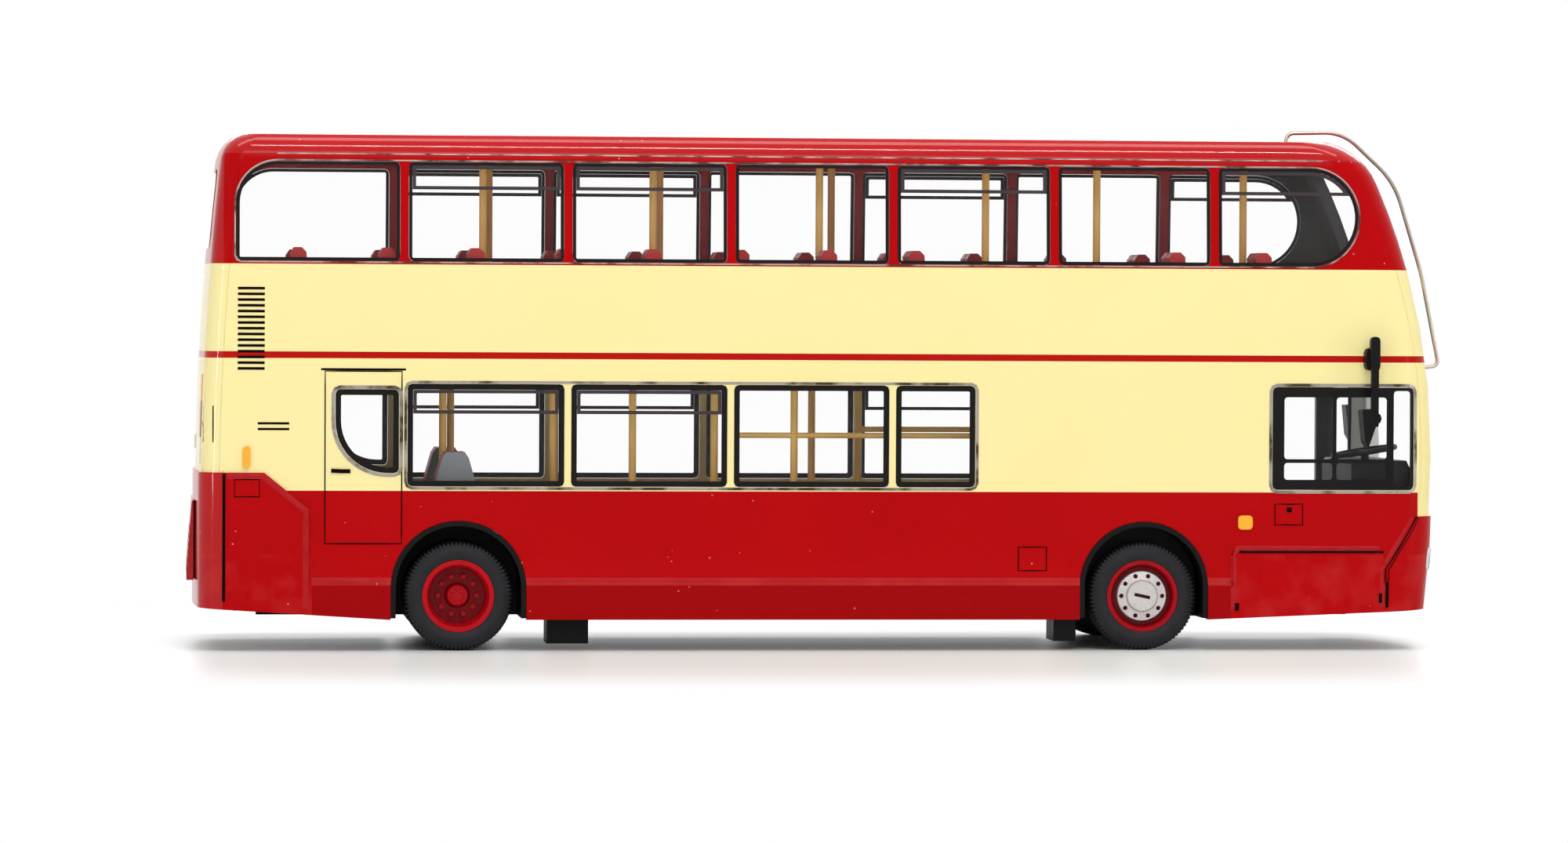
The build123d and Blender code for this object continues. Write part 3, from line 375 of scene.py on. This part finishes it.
# %% [markdown]
# ## Wheels
# The wheels are red plastic, and the front pair has a silver trim with stud holes and a slotted cap.
# The depth from the wheel's outer face sets a painted shade, darker in the hollows and in the cap's
# slot, so the nuts and the hub stand out bright on a dark dish.

# %% The slot in the front cap, in millimetres
CAP_R, SLOT_NEAR, SLOT_FAR = 1.5, 0.08, 0.4  # painted shade inside this radius and between these depths
print("cap radius", CAP_R)


# %% Wheel colours by depth
def by_depth(name, node_name, outer, second, hollow_shade, near, far, **constants):
    """Two mixed colours on the wheel's face, a painted shade in its hollows; near and far are depths in mm."""
    wheel = Finish(name, outer, Specular_IOR_Level=MATT, **constants)
    low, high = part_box(node_name)
    x, y, z = wheel.place()
    depth = high[1] / MM - (y | (y * -1))
    hollow_shade_mask = wheel.spread_over(depth, near, far)
    right, up = x - (low[0] + high[0]) / 2 / MM, z - (low[2] + high[2]) / 2 / MM
    slot_shade = (right * right + up * up < CAP_R * CAP_R) & (depth > SLOT_NEAR) & (depth < SLOT_FAR)
    # painted shade: darker with depth, and in the cap's slot
    wheel.set("Base Color", wheel.mix(hollow_shade_mask | slot_shade, wheel.mix(wheel.noise(1.5), outer, second), hollow_shade))
    wheel.set("Roughness", 0.2 + 0.2 * wheel.noise(0.8))
    wheel.bump(wheel.noise(0.4), 0.05, 0.02, edge_mm=0.08)
    dress(wheel, node_name)


by_depth("rear_wheel_red", "rear_rims", srgb(194, 10, 26), srgb(172, 8, 22), srgb(138, 4, 18), 1.5, 2.3)
by_depth("front_wheel_red", "front_rims", srgb(172, 8, 22), srgb(150, 4, 18), srgb(90, 0, 10), 0.1, 0.9)
by_depth("silver_trim", "front_trims", srgb(216, 212, 210), srgb(190, 184, 184), srgb(60, 12, 16), 0.6, 0.8,
         Metallic=0.3)
print("wheels dressed")

# %% [markdown]
# ## Seats
# The upper seats are moulded in dark red. Downstairs the benches over the wheels have grey end panels:
# there the way a face looks decides, and a face that looks out to the side is grey.

# %% Seat shades
SEAT_RED, SEAT_RED_DEEP, SEAT_GREY = srgb(196, 40, 44), srgb(166, 30, 36), srgb(120, 124, 128)
SIDEWAYS = 0.8                              # a normal's Y from which a face looks to the side
print("two reds and a grey")


# %% Seat colours
def seat_finish(name, end_colour):
    seat = Finish(name, SEAT_RED, Specular_IOR_Level=0.2).worn(3, SEAT_RED_DEEP, 0.4, 0.2)
    way = seat.add("ShaderNodeTexCoord", output="Normal")
    across = seat.add("ShaderNodeSeparateXYZ", inputs={0: way}, output=1)
    cloth = seat.mix(seat.noise(3), SEAT_RED, SEAT_RED_DEEP)
    seat.set("Base Color", seat.mix((across < -SIDEWAYS) | (across > SIDEWAYS), cloth, end_colour))
    return seat


dress(seat_finish("upper_seat", srgb(186, 46, 48)), "upper_seats")
dress(seat_finish("lower_seat", SEAT_GREY), "lower_seats")
print("seats dressed")

# %% [markdown]
# ## Lines and bright edges that lie on the walls
# Door joints, flaps and window edges are pressed or printed, a tenth of a millimetre wide. Each is a
# thin strip that follows the wall. A ray from outside finds the wall's surface at every point, so the
# strips ride over raised panels by themselves.

# %% Find the wall
WALLS = CASTINGS + GLAZING + ("window_frames", "head_lamps")
corners, faces = [], []
for name in WALLS:
    mesh = NODES[name].data
    start = len(corners)
    corners += [v.co.copy() for v in mesh.vertices]
    faces += [[start + k for k in face.vertices] for face in mesh.polygons]
wall_tree = BVHTree.FromPolygons(corners, faces)
OUTWARD = {"offside": Vector((0, -1, 0)), "nearside": Vector((0, 1, 0)), "front": Vector((1, 0, 0)),
           "rear": Vector((-1, 0, 0))}
REACH = {side: max(co.dot(way) for co in corners) for side, way in OUTWARD.items()}


def on_wall(side, across, z, lift):
    """The point of a wall, lifted off it a little. Across is X on the long sides, Y on the ends, in mm."""
    way = OUTWARD[side]
    level = Vector((across, 0, z) if way.y else (0, across, z)) * MM
    hit = wall_tree.ray_cast(level + 2 * REACH[side] * way, -way)[0]
    if hit is None or hit.dot(way) < 0.5 * REACH[side]:
        raise ValueError("no %s wall at %.2f, %.2f" % (side, across, z))
    return hit + way * lift * MM


print("wall tree of", len(faces), "faces")

# %% [markdown]
# ### Strips
# A printed line could be a mask in the paint, as the livery is, but a strip of its own keeps a sharp
# edge however near one looks, and can stand a little proud like a moulded joint. Its edges fold down
# into the wall, so no gap shows under it.


# %% Make a piece that rides on a body
def piece(name, verts, quads, finish, body="body", smooth=False):
    mesh = bpy.data.meshes.new(name)
    mesh.from_pydata([tuple(v) for v in verts], [], quads)
    mesh.materials.append(finish.material)
    if smooth:
        mesh.shade_smooth()
    made = bpy.data.objects.new(name, mesh)
    bpy.context.collection.objects.link(made)
    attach(made, body)
    return made


# %% Strips along paths of X, Z points, or Y, Z points on the ends
def strips(name, side, paths, finish, profile, closed=False):
    """A narrow band along each path; the profile gives sideways shift and lift of its edges."""
    verts, quads, wide = [], [], len(profile)
    for path in paths:
        points, start = [Vector(p) for p in path], len(verts)
        count = len(points)
        for k, point in enumerate(points):
            before = points[k - 1] if closed or k else point
            after = points[(k + 1) % count] if closed or k < count - 1 else point
            along = (after - before).normalized()
            for shift, lift in profile:
                spot = point + shift * Vector((-along.y, along.x))
                verts.append(on_wall(side, spot.x, spot.y, lift))
        for k in range(count if closed else count - 1):
            a, b = start + wide * k, start + wide * ((k + 1) % count)
            quads += [(a + j, b + j, b + j + 1, a + j + 1) for j in range(wide - 1)]
    return piece(name, verts, quads, finish)


def flat(width, lift=0.02, foot=-0.05):
    """Profile of a flat strip with its edges folded down into the wall."""
    return (-width / 2, foot), (-width / 2, lift), (width / 2, lift), (width / 2, foot)


def spread(path, step, closed=True):
    """The path with extra points, so that no stretch is longer than the step."""
    path, out = [Vector(p) for p in path], []
    for point, ahead in zip(path, path[1:] + path[:1] if closed else path[1:]):
        parts = max(1, int((ahead - point).length / step))
        out += [point.lerp(ahead, j / parts) for j in range(parts)]
    return out if closed else out + path[-1:]


def box_path(x0, x1, z0, z1):
    return spread([(x0, z0), (x1, z0), (x1, z1), (x0, z1)], 1.5)


def fine(paths, step=1.0):
    """Open paths with extra points, so that their strips follow a curved wall."""
    return [spread(path, step, closed=False) for path in paths]


print("strip tools ready")

# %% [markdown]
# ### Window groups
# A bright edge runs round each group of windows. The groups are read from the black frames of the CAD
# model: every frame is one island of its mesh, and since all windows bulge outwards, the hull of a
# group's points is its outline. On the real model the silver is a hair-thin printed line with gaps,
# so noise takes some of it away. A strip of the same silver in the joint of roof and wall is a painted
# highlight line.


# %% Read the window outlines from the frame
def welded(mesh):
    """A copy of a mesh with the points of each solid joined, so that islands are whole solids."""
    joined = bmesh.new()
    joined.from_mesh(mesh)
    bmesh.ops.remove_doubles(joined, verts=joined.verts, dist=SAME_POINT)
    copy = bpy.data.meshes.new("welded")
    joined.to_mesh(copy)
    joined.free()
    return copy


def islands(mesh):
    """The separate solids of a mesh, each as a list of its points in millimetres."""
    mesh = welded(mesh)
    parent = list(range(len(mesh.vertices)))

    def root(k):
        while parent[k] != k:
            parent[k] = parent[parent[k]]
            k = parent[k]
        return k

    for edge in mesh.edges:
        a, b = edge.vertices
        parent[root(a)] = root(b)
    groups = {}
    for vertex in mesh.vertices:
        groups.setdefault(root(vertex.index), []).append(vertex.co / MM)
    return list(groups.values())


def hull(points):
    level = [(p.x, p.z) for p in points]
    return [Vector(level[k]) for k in geometry.convex_hull_2d(level)]


def grown(path, by):
    """A convex outline moved outwards."""
    out, count = [], len(path)
    for k in range(count):
        along = path[(k + 1) % count] - path[k - 1]
        out.append(path[k] + Vector((along.y, -along.x)).normalized() * by)
    return out


frame_islands = islands(NODES["window_frames"].data)
print(len(frame_islands), "window frames")

# %% Bright edges of the windows, and a painted highlight line in the roof's joint
WINDOW_SETS = (  # name, side, rear X, front X, low Z and high Z of the frames' middles, width
    ("offside_upper_edge", "offside", -70, 70, 40, 60, 0.15),
    ("offside_lower_edge", "offside", -44.9, 16, 15, 30, 0.28),
    ("escape_door_edge", "offside", -60, -45.1, 15, 30, 0.36),
    ("cab_window_edge", "offside", 46, 70, 15, 30, 0.32),
    ("nearside_upper_edge", "nearside", -70, 70, 40, 60, 0.15),
    ("nearside_lower_edge", "nearside", -70, 45, 15, 30, 0.28))
FRAME_GAP, EDGE_LIFT = 0.07, 0.05           # from a frame to the casting round it, and off that casting
SILVER, SILVER_GONE = srgb(164, 156, 148), srgb(62, 52, 47)
bright = Finish("bright_edge", SILVER, Metallic=0.5, Specular_IOR_Level=0.3)
wear_and_sheen = bright.noise(2.6, 4)
bright.set("Base Color", bright.mix(bright.spread_over(wear_and_sheen, 0.45, 0.62), SILVER, SILVER_GONE))
bright.set("Roughness", 0.2 + 0.3 * wear_and_sheen)
bright.bump(bright.noise(0.5), 0.1, 0.02)
for name, side, x0, x1, z0, z1, width in WINDOW_SETS:
    points = []
    for island in frame_islands:
        middle = sum(island, Vector()) / len(island)
        if middle.dot(OUTWARD[side]) > 0 and x0 < middle.x < x1 and z0 < middle.z < z1:
            points += island
    outline = spread(grown(hull(points), FRAME_GAP + width / 2), 1.0)
    strips(name, side, [outline], bright, flat(width, EDGE_LIFT), closed=True)
    print(name, "from", len(points), "points")
# painted highlight: a silver line along the joint of roof and wall
GUTTER_REAR, GUTTER_FRONT, GUTTER_WIDTH = -58, 57, 0.12
gutter_highlight = fine([((GUTTER_REAR, ROOF_JOINT), (GUTTER_FRONT, ROOF_JOINT))], 2.0)
for side in ("offside", "nearside"):
    strips(side + "_gutter", side, gutter_highlight, bright, flat(GUTTER_WIDTH))

# %% [markdown]
# ### Joints and flaps
# The escape door, the engine side grille and the service flaps are only lines on the model, printed or
# sunk into the casting. One table holds them, so a line is moved by changing its numbers: each has its
# paths of X and Z in millimetres, its width, how far it stands off the wall and the longest step along it.

# %% Flaps and grille
ink = Finish("panel_line", srgb(20, 6, 5), Specular_IOR_Level=HARDLY_SHINY).worn(2, srgb(10, 4, 4), 0.4, 0.2)
FLAPS = (  # rear X, front X, low Z, high Z: escape door, filler, skirt, rear quarter, rear corner
    (-52.96, -44.92, 11.29, 29.4), (48.1, 51.1, 13.4, 15.6), (20.5, 23.5, 8.5, 11.0), (-62.4, -59.8, 16.2, 18.0),
    (-65.7, -64.65, 21.9, 25.7))
strips("offside_panel_lines", "offside", [box_path(*flap) for flap in FLAPS], ink, flat(0.14),
       closed=True)
GRILLE_SLOTS, GRILLE_LOW, GRILLE_PITCH, GRILLE_REAR, GRILLE_FRONT = 15, 29.64, 0.6, -62.1, -59.3
VENT_REAR, VENT_FRONT, VENTS = -60.0, -56.7, (23.9, 23.3)
grille_heights = [GRILLE_LOW + k * GRILLE_PITCH for k in range(GRILLE_SLOTS)]
grille = [((GRILLE_REAR, z), (GRILLE_FRONT, z)) for z in grille_heights]
grille += [((VENT_REAR, z), (VENT_FRONT, z)) for z in VENTS]
print(len(FLAPS), "flaps and", len(grille), "slots")

# %% Panel lines
WHOLE = 99.0                                # a step longer than any path, which leaves its points as they are
LINES = (  # name, paths, width, lift, step
    ("engine_grille", grille, 0.24, 0.02, WHOLE),
    ("bumper_seams", (((-63.5, 5.2), (-63.5, 18.6)),
                      ((60.25, 4.6), (60.3, 8.6), (61.6, 10.8), (63.0, 12.9), (63.7, 14.2))), 0.32, 0.08, 0.5),
    ("access_panel_head", (((43.6, 10.5), (59.9, 10.5)),), 0.24, 0.05, 1.0),
    ("access_panel_sides", (((43.5, 4.9), (43.5, 10.4)), ((60.0, 5.2), (60.0, 8.6))), 0.12, 0.02, 1.0),
    ("rear_bumper_head", (((-65.7, 18.86), (-63.6, 18.86)),), 0.2, 0.02, WHOLE),
    ("escape_door_head", (((-53.4, 29.59), (-44.5, 29.59)),), 0.22, 0.02, WHOLE),
    ("escape_door_handle", (((-52.3, 18.95), (-51.3, 18.9)), ((-51.3, 18.9), (-50.3, 18.9))), 0.42, 0.15, WHOLE),
    ("access_latches", (((44.0, 4.25), (44.0, 5.05)), ((59.6, 5.1), (59.6, 6.1))), 0.45, 0.08, WHOLE),
    ("filler_cap", (((49.4, 15.0), (49.9, 15.0)),), 0.5, 0.12, WHOLE))
for name, paths, width, lift, step in LINES:
    strips(name, "offside", fine(paths, step), ink, flat(width, lift))
print("panel lines drawn:", len(LINES))

# %% [markdown]
# ### Rolled edges of raised panels, with a painted highlight
# The rear quarter panel, the access panel and the bumpers stand a little proud of the wall, and the
# casting has a soft slope at their edges that catches the light. Each slope is a strip whose inner edge
# lies on the raised panel and whose outer edge lies on the wall. Its paler pink is a painted highlight.

# %% Slopes
RAISED = (  # paths of X, Z points: rear quarter panel, access panel, front bumper
    ((-63.2, 18.6), (-59.35, 18.6), (-54.7, 14.85), (-54.7, 4.5)),
    ((43.4, 4.4), (43.4, 9.9), (44.0, 11.1), (59.5, 11.1)),
    ((63.4, 14.0), (60.0, 8.6), (60.0, 4.6)))
SLOPE = ((-0.55, 0.01), (-0.2, 0.1), (0.06, 0.01))     # sideways shift and lift across a slope
# painted highlight: the slope is a paler pink than the paint round it
slope_highlight = Finish("rolled_edge_highlight", srgb(188, 34, 40), Specular_IOR_Level=0.1).worn(1.5, srgb(160, 14, 24), 0.2, 0.2)
strips("panel_slopes", "offside", fine(RAISED), slope_highlight, SLOPE)
print("slopes laid")

# %% [markdown]
# ### The two ends
# The photograph hides both ends, so they get what most such models carry: twin round reflectors behind
# each headlamp lens, a seam each side of the bumper's middle, and louvres in the engine cover.


# %% Lamp rings, seams and louvres
def ring_path(across, z, radius, count=28):
    return [(across + radius * cos(2 * pi * k / count), z + radius * sin(2 * pi * k / count)) for k in range(count)]


LAMP_Z, LAMP_PLACES, RING_RADII = 9.65, (-13.0, -10.4, 10.4, 13.0), (0.95, 0.45)
rings = [ring_path(y, LAMP_Z, radius) for y in LAMP_PLACES for radius in RING_RADII]
strips("lamp_rings", "front", rings, bright, flat(0.2, 0.04), closed=True)
SEAM_Y, SEAM_LOW, SEAM_HIGH = 8.2, 4.8, 13.9
SLOT_Y, BUMPER_SLOTS = 5.5, (11.6, 12.3, 13.0)
front_lines = [((y, SEAM_LOW), (y, SEAM_HIGH)) for y in (-SEAM_Y, SEAM_Y)]
front_lines += [((-SLOT_Y, z), (SLOT_Y, z)) for z in BUMPER_SLOTS]
strips("front_seams", "front", fine(front_lines), ink, flat(0.22))
LOUVRES, LOUVRE_LOW, LOUVRE_PITCH, LOUVRE_LONG, LOUVRE_STARTS = 6, 8.2, 0.85, 7, (-7.6, 0.6)
louvre_heights = [LOUVRE_LOW + k * LOUVRE_PITCH for k in range(LOUVRES)]
louvres = [((y, z), (y + LOUVRE_LONG, z)) for z in louvre_heights for y in LOUVRE_STARTS]
strips("engine_louvres", "rear", fine(louvres), ink, flat(0.3))
print("ends dressed")

# %% [markdown]
# ## Tyres
# The CAD tyre is a plain ring. Seen close, the model's soft tyre has grooves round the tread and blocks
# at the shoulder. A grid of points round and across the tyre is easy to shape with numpy: each row
# across is a profile, and every fourth row is pressed in at the shoulder to leave the blocks.

# %% Tyre mesh
rubber = Finish("tyre_rubber", srgb(37, 36, 39), Specular_IOR_Level=0.2).worn(2, srgb(26, 25, 28), 0.45, 0.25, 0.3)
ROUND, NOTCH, NOTCH_DEEP = 320, 4, 0.17     # rows round the tyre, rows to a block, share of the depth
SIDE = (  # shares of the half width and of the way from rim to tread, from the rim out
    (0.91, 0.0), (0.97, 0.08), (0.96, 0.16), (1.0, 0.22), (1.0, 0.55), (0.96, 0.60), (0.93, 0.84), (0.86, 0.94),
    (0.62, 1.0), (0.36, 1.0), (0.34, 0.93), (0.28, 0.93), (0.26, 1.0))
PROFILE = np.array([(-u, share) for u, share in SIDE] + list(reversed(SIDE)))
SHOULDER = (np.abs(PROFILE[:, 0]) > 0.5) & (PROFILE[:, 1] > 0.8)   # points near the tread's edge


def tyre_rows(centre, middle, half, rim, tread):
    """Points of one tyre, as rows round it."""
    rows = []
    for k in range(ROUND):
        share = PROFILE[:, 1] - np.where(SHOULDER & (k % NOTCH == 0), NOTCH_DEEP, 0.0)
        radius = rim + share * (tread - rim)
        angle = 2 * pi * k / ROUND
        rows.append(np.stack([centre.x + radius * cos(angle), middle + PROFILE[:, 0] * half,
                              centre.z + radius * sin(angle)], axis=1))
    return np.concatenate(rows)


def tyre_faces(start):
    wide = len(PROFILE)
    return [(start + k * wide + j, start + k * wide + (j + 1) % wide,
             start + (k + 1) % ROUND * wide + (j + 1) % wide, start + (k + 1) % ROUND * wide + j)
            for k in range(ROUND) for j in range(wide)]


for node_name, body in (("front_tyres", "front_axle"), ("rear_tyres", "rear_axle")):
    low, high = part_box(node_name)
    centre, tread = (Vector(low) + Vector(high)) / 2, (high[2] - low[2]) / 2
    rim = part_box(node_name.replace("tyres", "rims"))[1][2] - centre.z
    verts, quads = [], []
    for island in islands(NODES[node_name].data):
        across = [p.y * MM for p in island]
        middle, half = (max(across) + min(across)) / 2, (max(across) - min(across)) / 2
        quads += tyre_faces(len(verts))
        verts += tyre_rows(centre, middle, half, rim, tread).tolist()
    tyre = piece(node_name + "_treaded", verts, quads, rubber, body, smooth=True)
    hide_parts(node_name)
    print(tyre.name, len(quads), "faces")
dress(rubber, "front_tyres", "rear_tyres")

# %% [markdown]
# ## Table, light and camera
# The model stands on a white table under a large soft light. Near the bus the table is an ordinary
# surface that takes the shadow; further out it fades to plain white for the camera, so that no horizon
# shows. A mask in the material does that for the rays that show the table, and leaves its light alone.

# %% White table
TABLE_SIZE = 6.0
REACH_X, REACH_Y, FADE_FROM, FADE_TO = 0.13, 0.055, 0.6, 2.2   # oval round the bus, and squares of its shares
bpy.ops.mesh.primitive_plane_add(size=TABLE_SIZE, location=(0, 0, 0))
table = bpy.context.object
table.name = "white_table"
top = Finish("white_table", (0.83, 0.87, 0.86, 1), Roughness=0.3, Specular_IOR_Level=0.25)
x, y, _ = top.place()
away, aside = x * (MM / REACH_X), y * (MM / REACH_Y)
fade = top.spread_over(away * away + aside * aside, FADE_FROM, FADE_TO, interpolation_type="SMOOTHSTEP")
glow = top.add("ShaderNodeEmission", inputs={"Color": (1, 1, 1, 1), "Strength": 1.0})
shown = top.add("ShaderNodeMixShader",
                inputs={0: fade * top.seen(), 1: Value(top, top.skin.outputs[0]), 2: glow})
top.feed(top.tree.nodes["Material Output"].inputs["Surface"], shown)
table.data.materials.append(top.material)
print("table set")

# %% [markdown]
# ### Light
# A white room lights the bus evenly, soft boxes above, before and behind it shape it, and three thin
# strips draw the glints on the roof edge and the corner posts. The flat sides mirror little, because a
# white room in a glossy red side would wash it out to pink.

# %% White room
world = bpy.data.worlds.new("studio")
bpy.context.scene.world = world
world.use_nodes = True
sky = Graph(world.node_tree)
AMBIENT = 0.32                              # strength as a light; white as a background is 1
background = world.node_tree.nodes["Background"]
sky.feed(background.inputs["Color"], (1, 1, 1, 1))
sky.feed(background.inputs["Strength"], AMBIENT + sky.seen() * (1 - AMBIENT))
print("room strength", AMBIENT)


# %% Lamps
def softbox(name, place, aim, size, power):
    """A lamp at a place in metres, turned to a point, with its width, height and watts."""
    light = bpy.data.lights.new(name, "AREA")
    light.shape, light.size, light.size_y, light.energy = "RECTANGLE", size[0], size[1], power
    lamp = bpy.data.objects.new(name, light)
    lamp.location = place
    lamp.rotation_euler = (Vector(aim) - Vector(place)).to_track_quat("-Z", "Y").to_euler()
    bpy.context.collection.objects.link(lamp)


LAMPS = (  # name, place, aim, size, power
    ("overhead", (0, -0.02, 0.55), (0, 0, 0), (0.8, 0.14), 2.0),
    ("front_fill", (-0.1, -0.8, 0.37), (0, 0, 0.03), (0.8, 0.2), 1.3),
    ("back_fill", (0.1, 0.8, 0.37), (0, 0, 0.03), (0.8, 0.2), 2.6),
    ("edge_strip", (0.06, -0.34, 0.52), (0, 0, 0.03), (0.32, 0.012), 1.2),
    ("rear_strip", (-0.5, -0.35, 0.04), (-0.06, 0, 0.03), (0.008, 0.12), 0.3),
    ("nose_strip", (0.6, -0.3, 0.04), (0.06, 0, 0.03), (0.008, 0.12), 0.3))
for lamp in LAMPS:
    softbox(*lamp)
print("lit by", len(LAMPS), "lamps")

# %% [markdown]
# ### Camera
# The photograph was taken with a long lens from a little behind the middle of the bus. Its angles and
# distance were fitted to points of the bus whose places are known, so the render can be laid over it.

# %% Camera at the photograph's place
YAW, PITCH, ROLL = 0.104, 0.018, 0.005
CAMERA_AT = Vector((-68.685, -630.801, 35.371)) * MM
FOCAL_PX, PHOTO_WIDTH, SENSOR = 7452.0, 2000, 36.0
ahead = Vector((sin(YAW) * cos(PITCH), cos(YAW) * cos(PITCH), -sin(PITCH)))
level_right = Vector((cos(YAW), -sin(YAW), 0))
level_up = level_right.cross(ahead)
right = level_right * cos(ROLL) + level_up * sin(ROLL)
up = level_up * cos(ROLL) - level_right * sin(ROLL)
data = bpy.data.cameras.new("photo_camera")
data.sensor_width, data.lens = SENSOR, SENSOR * FOCAL_PX / PHOTO_WIDTH
data.clip_start = 0.01
camera = bpy.data.objects.new("photo_camera", data)
camera.matrix_world = Matrix((right, up, -ahead)).transposed().to_4x4()
camera.matrix_world.translation = CAMERA_AT
bpy.context.collection.objects.link(camera)
bpy.context.scene.camera = camera
bpy.context.scene.view_settings.view_transform = "Standard"
print("camera lens", round(data.lens, 1), "mm")
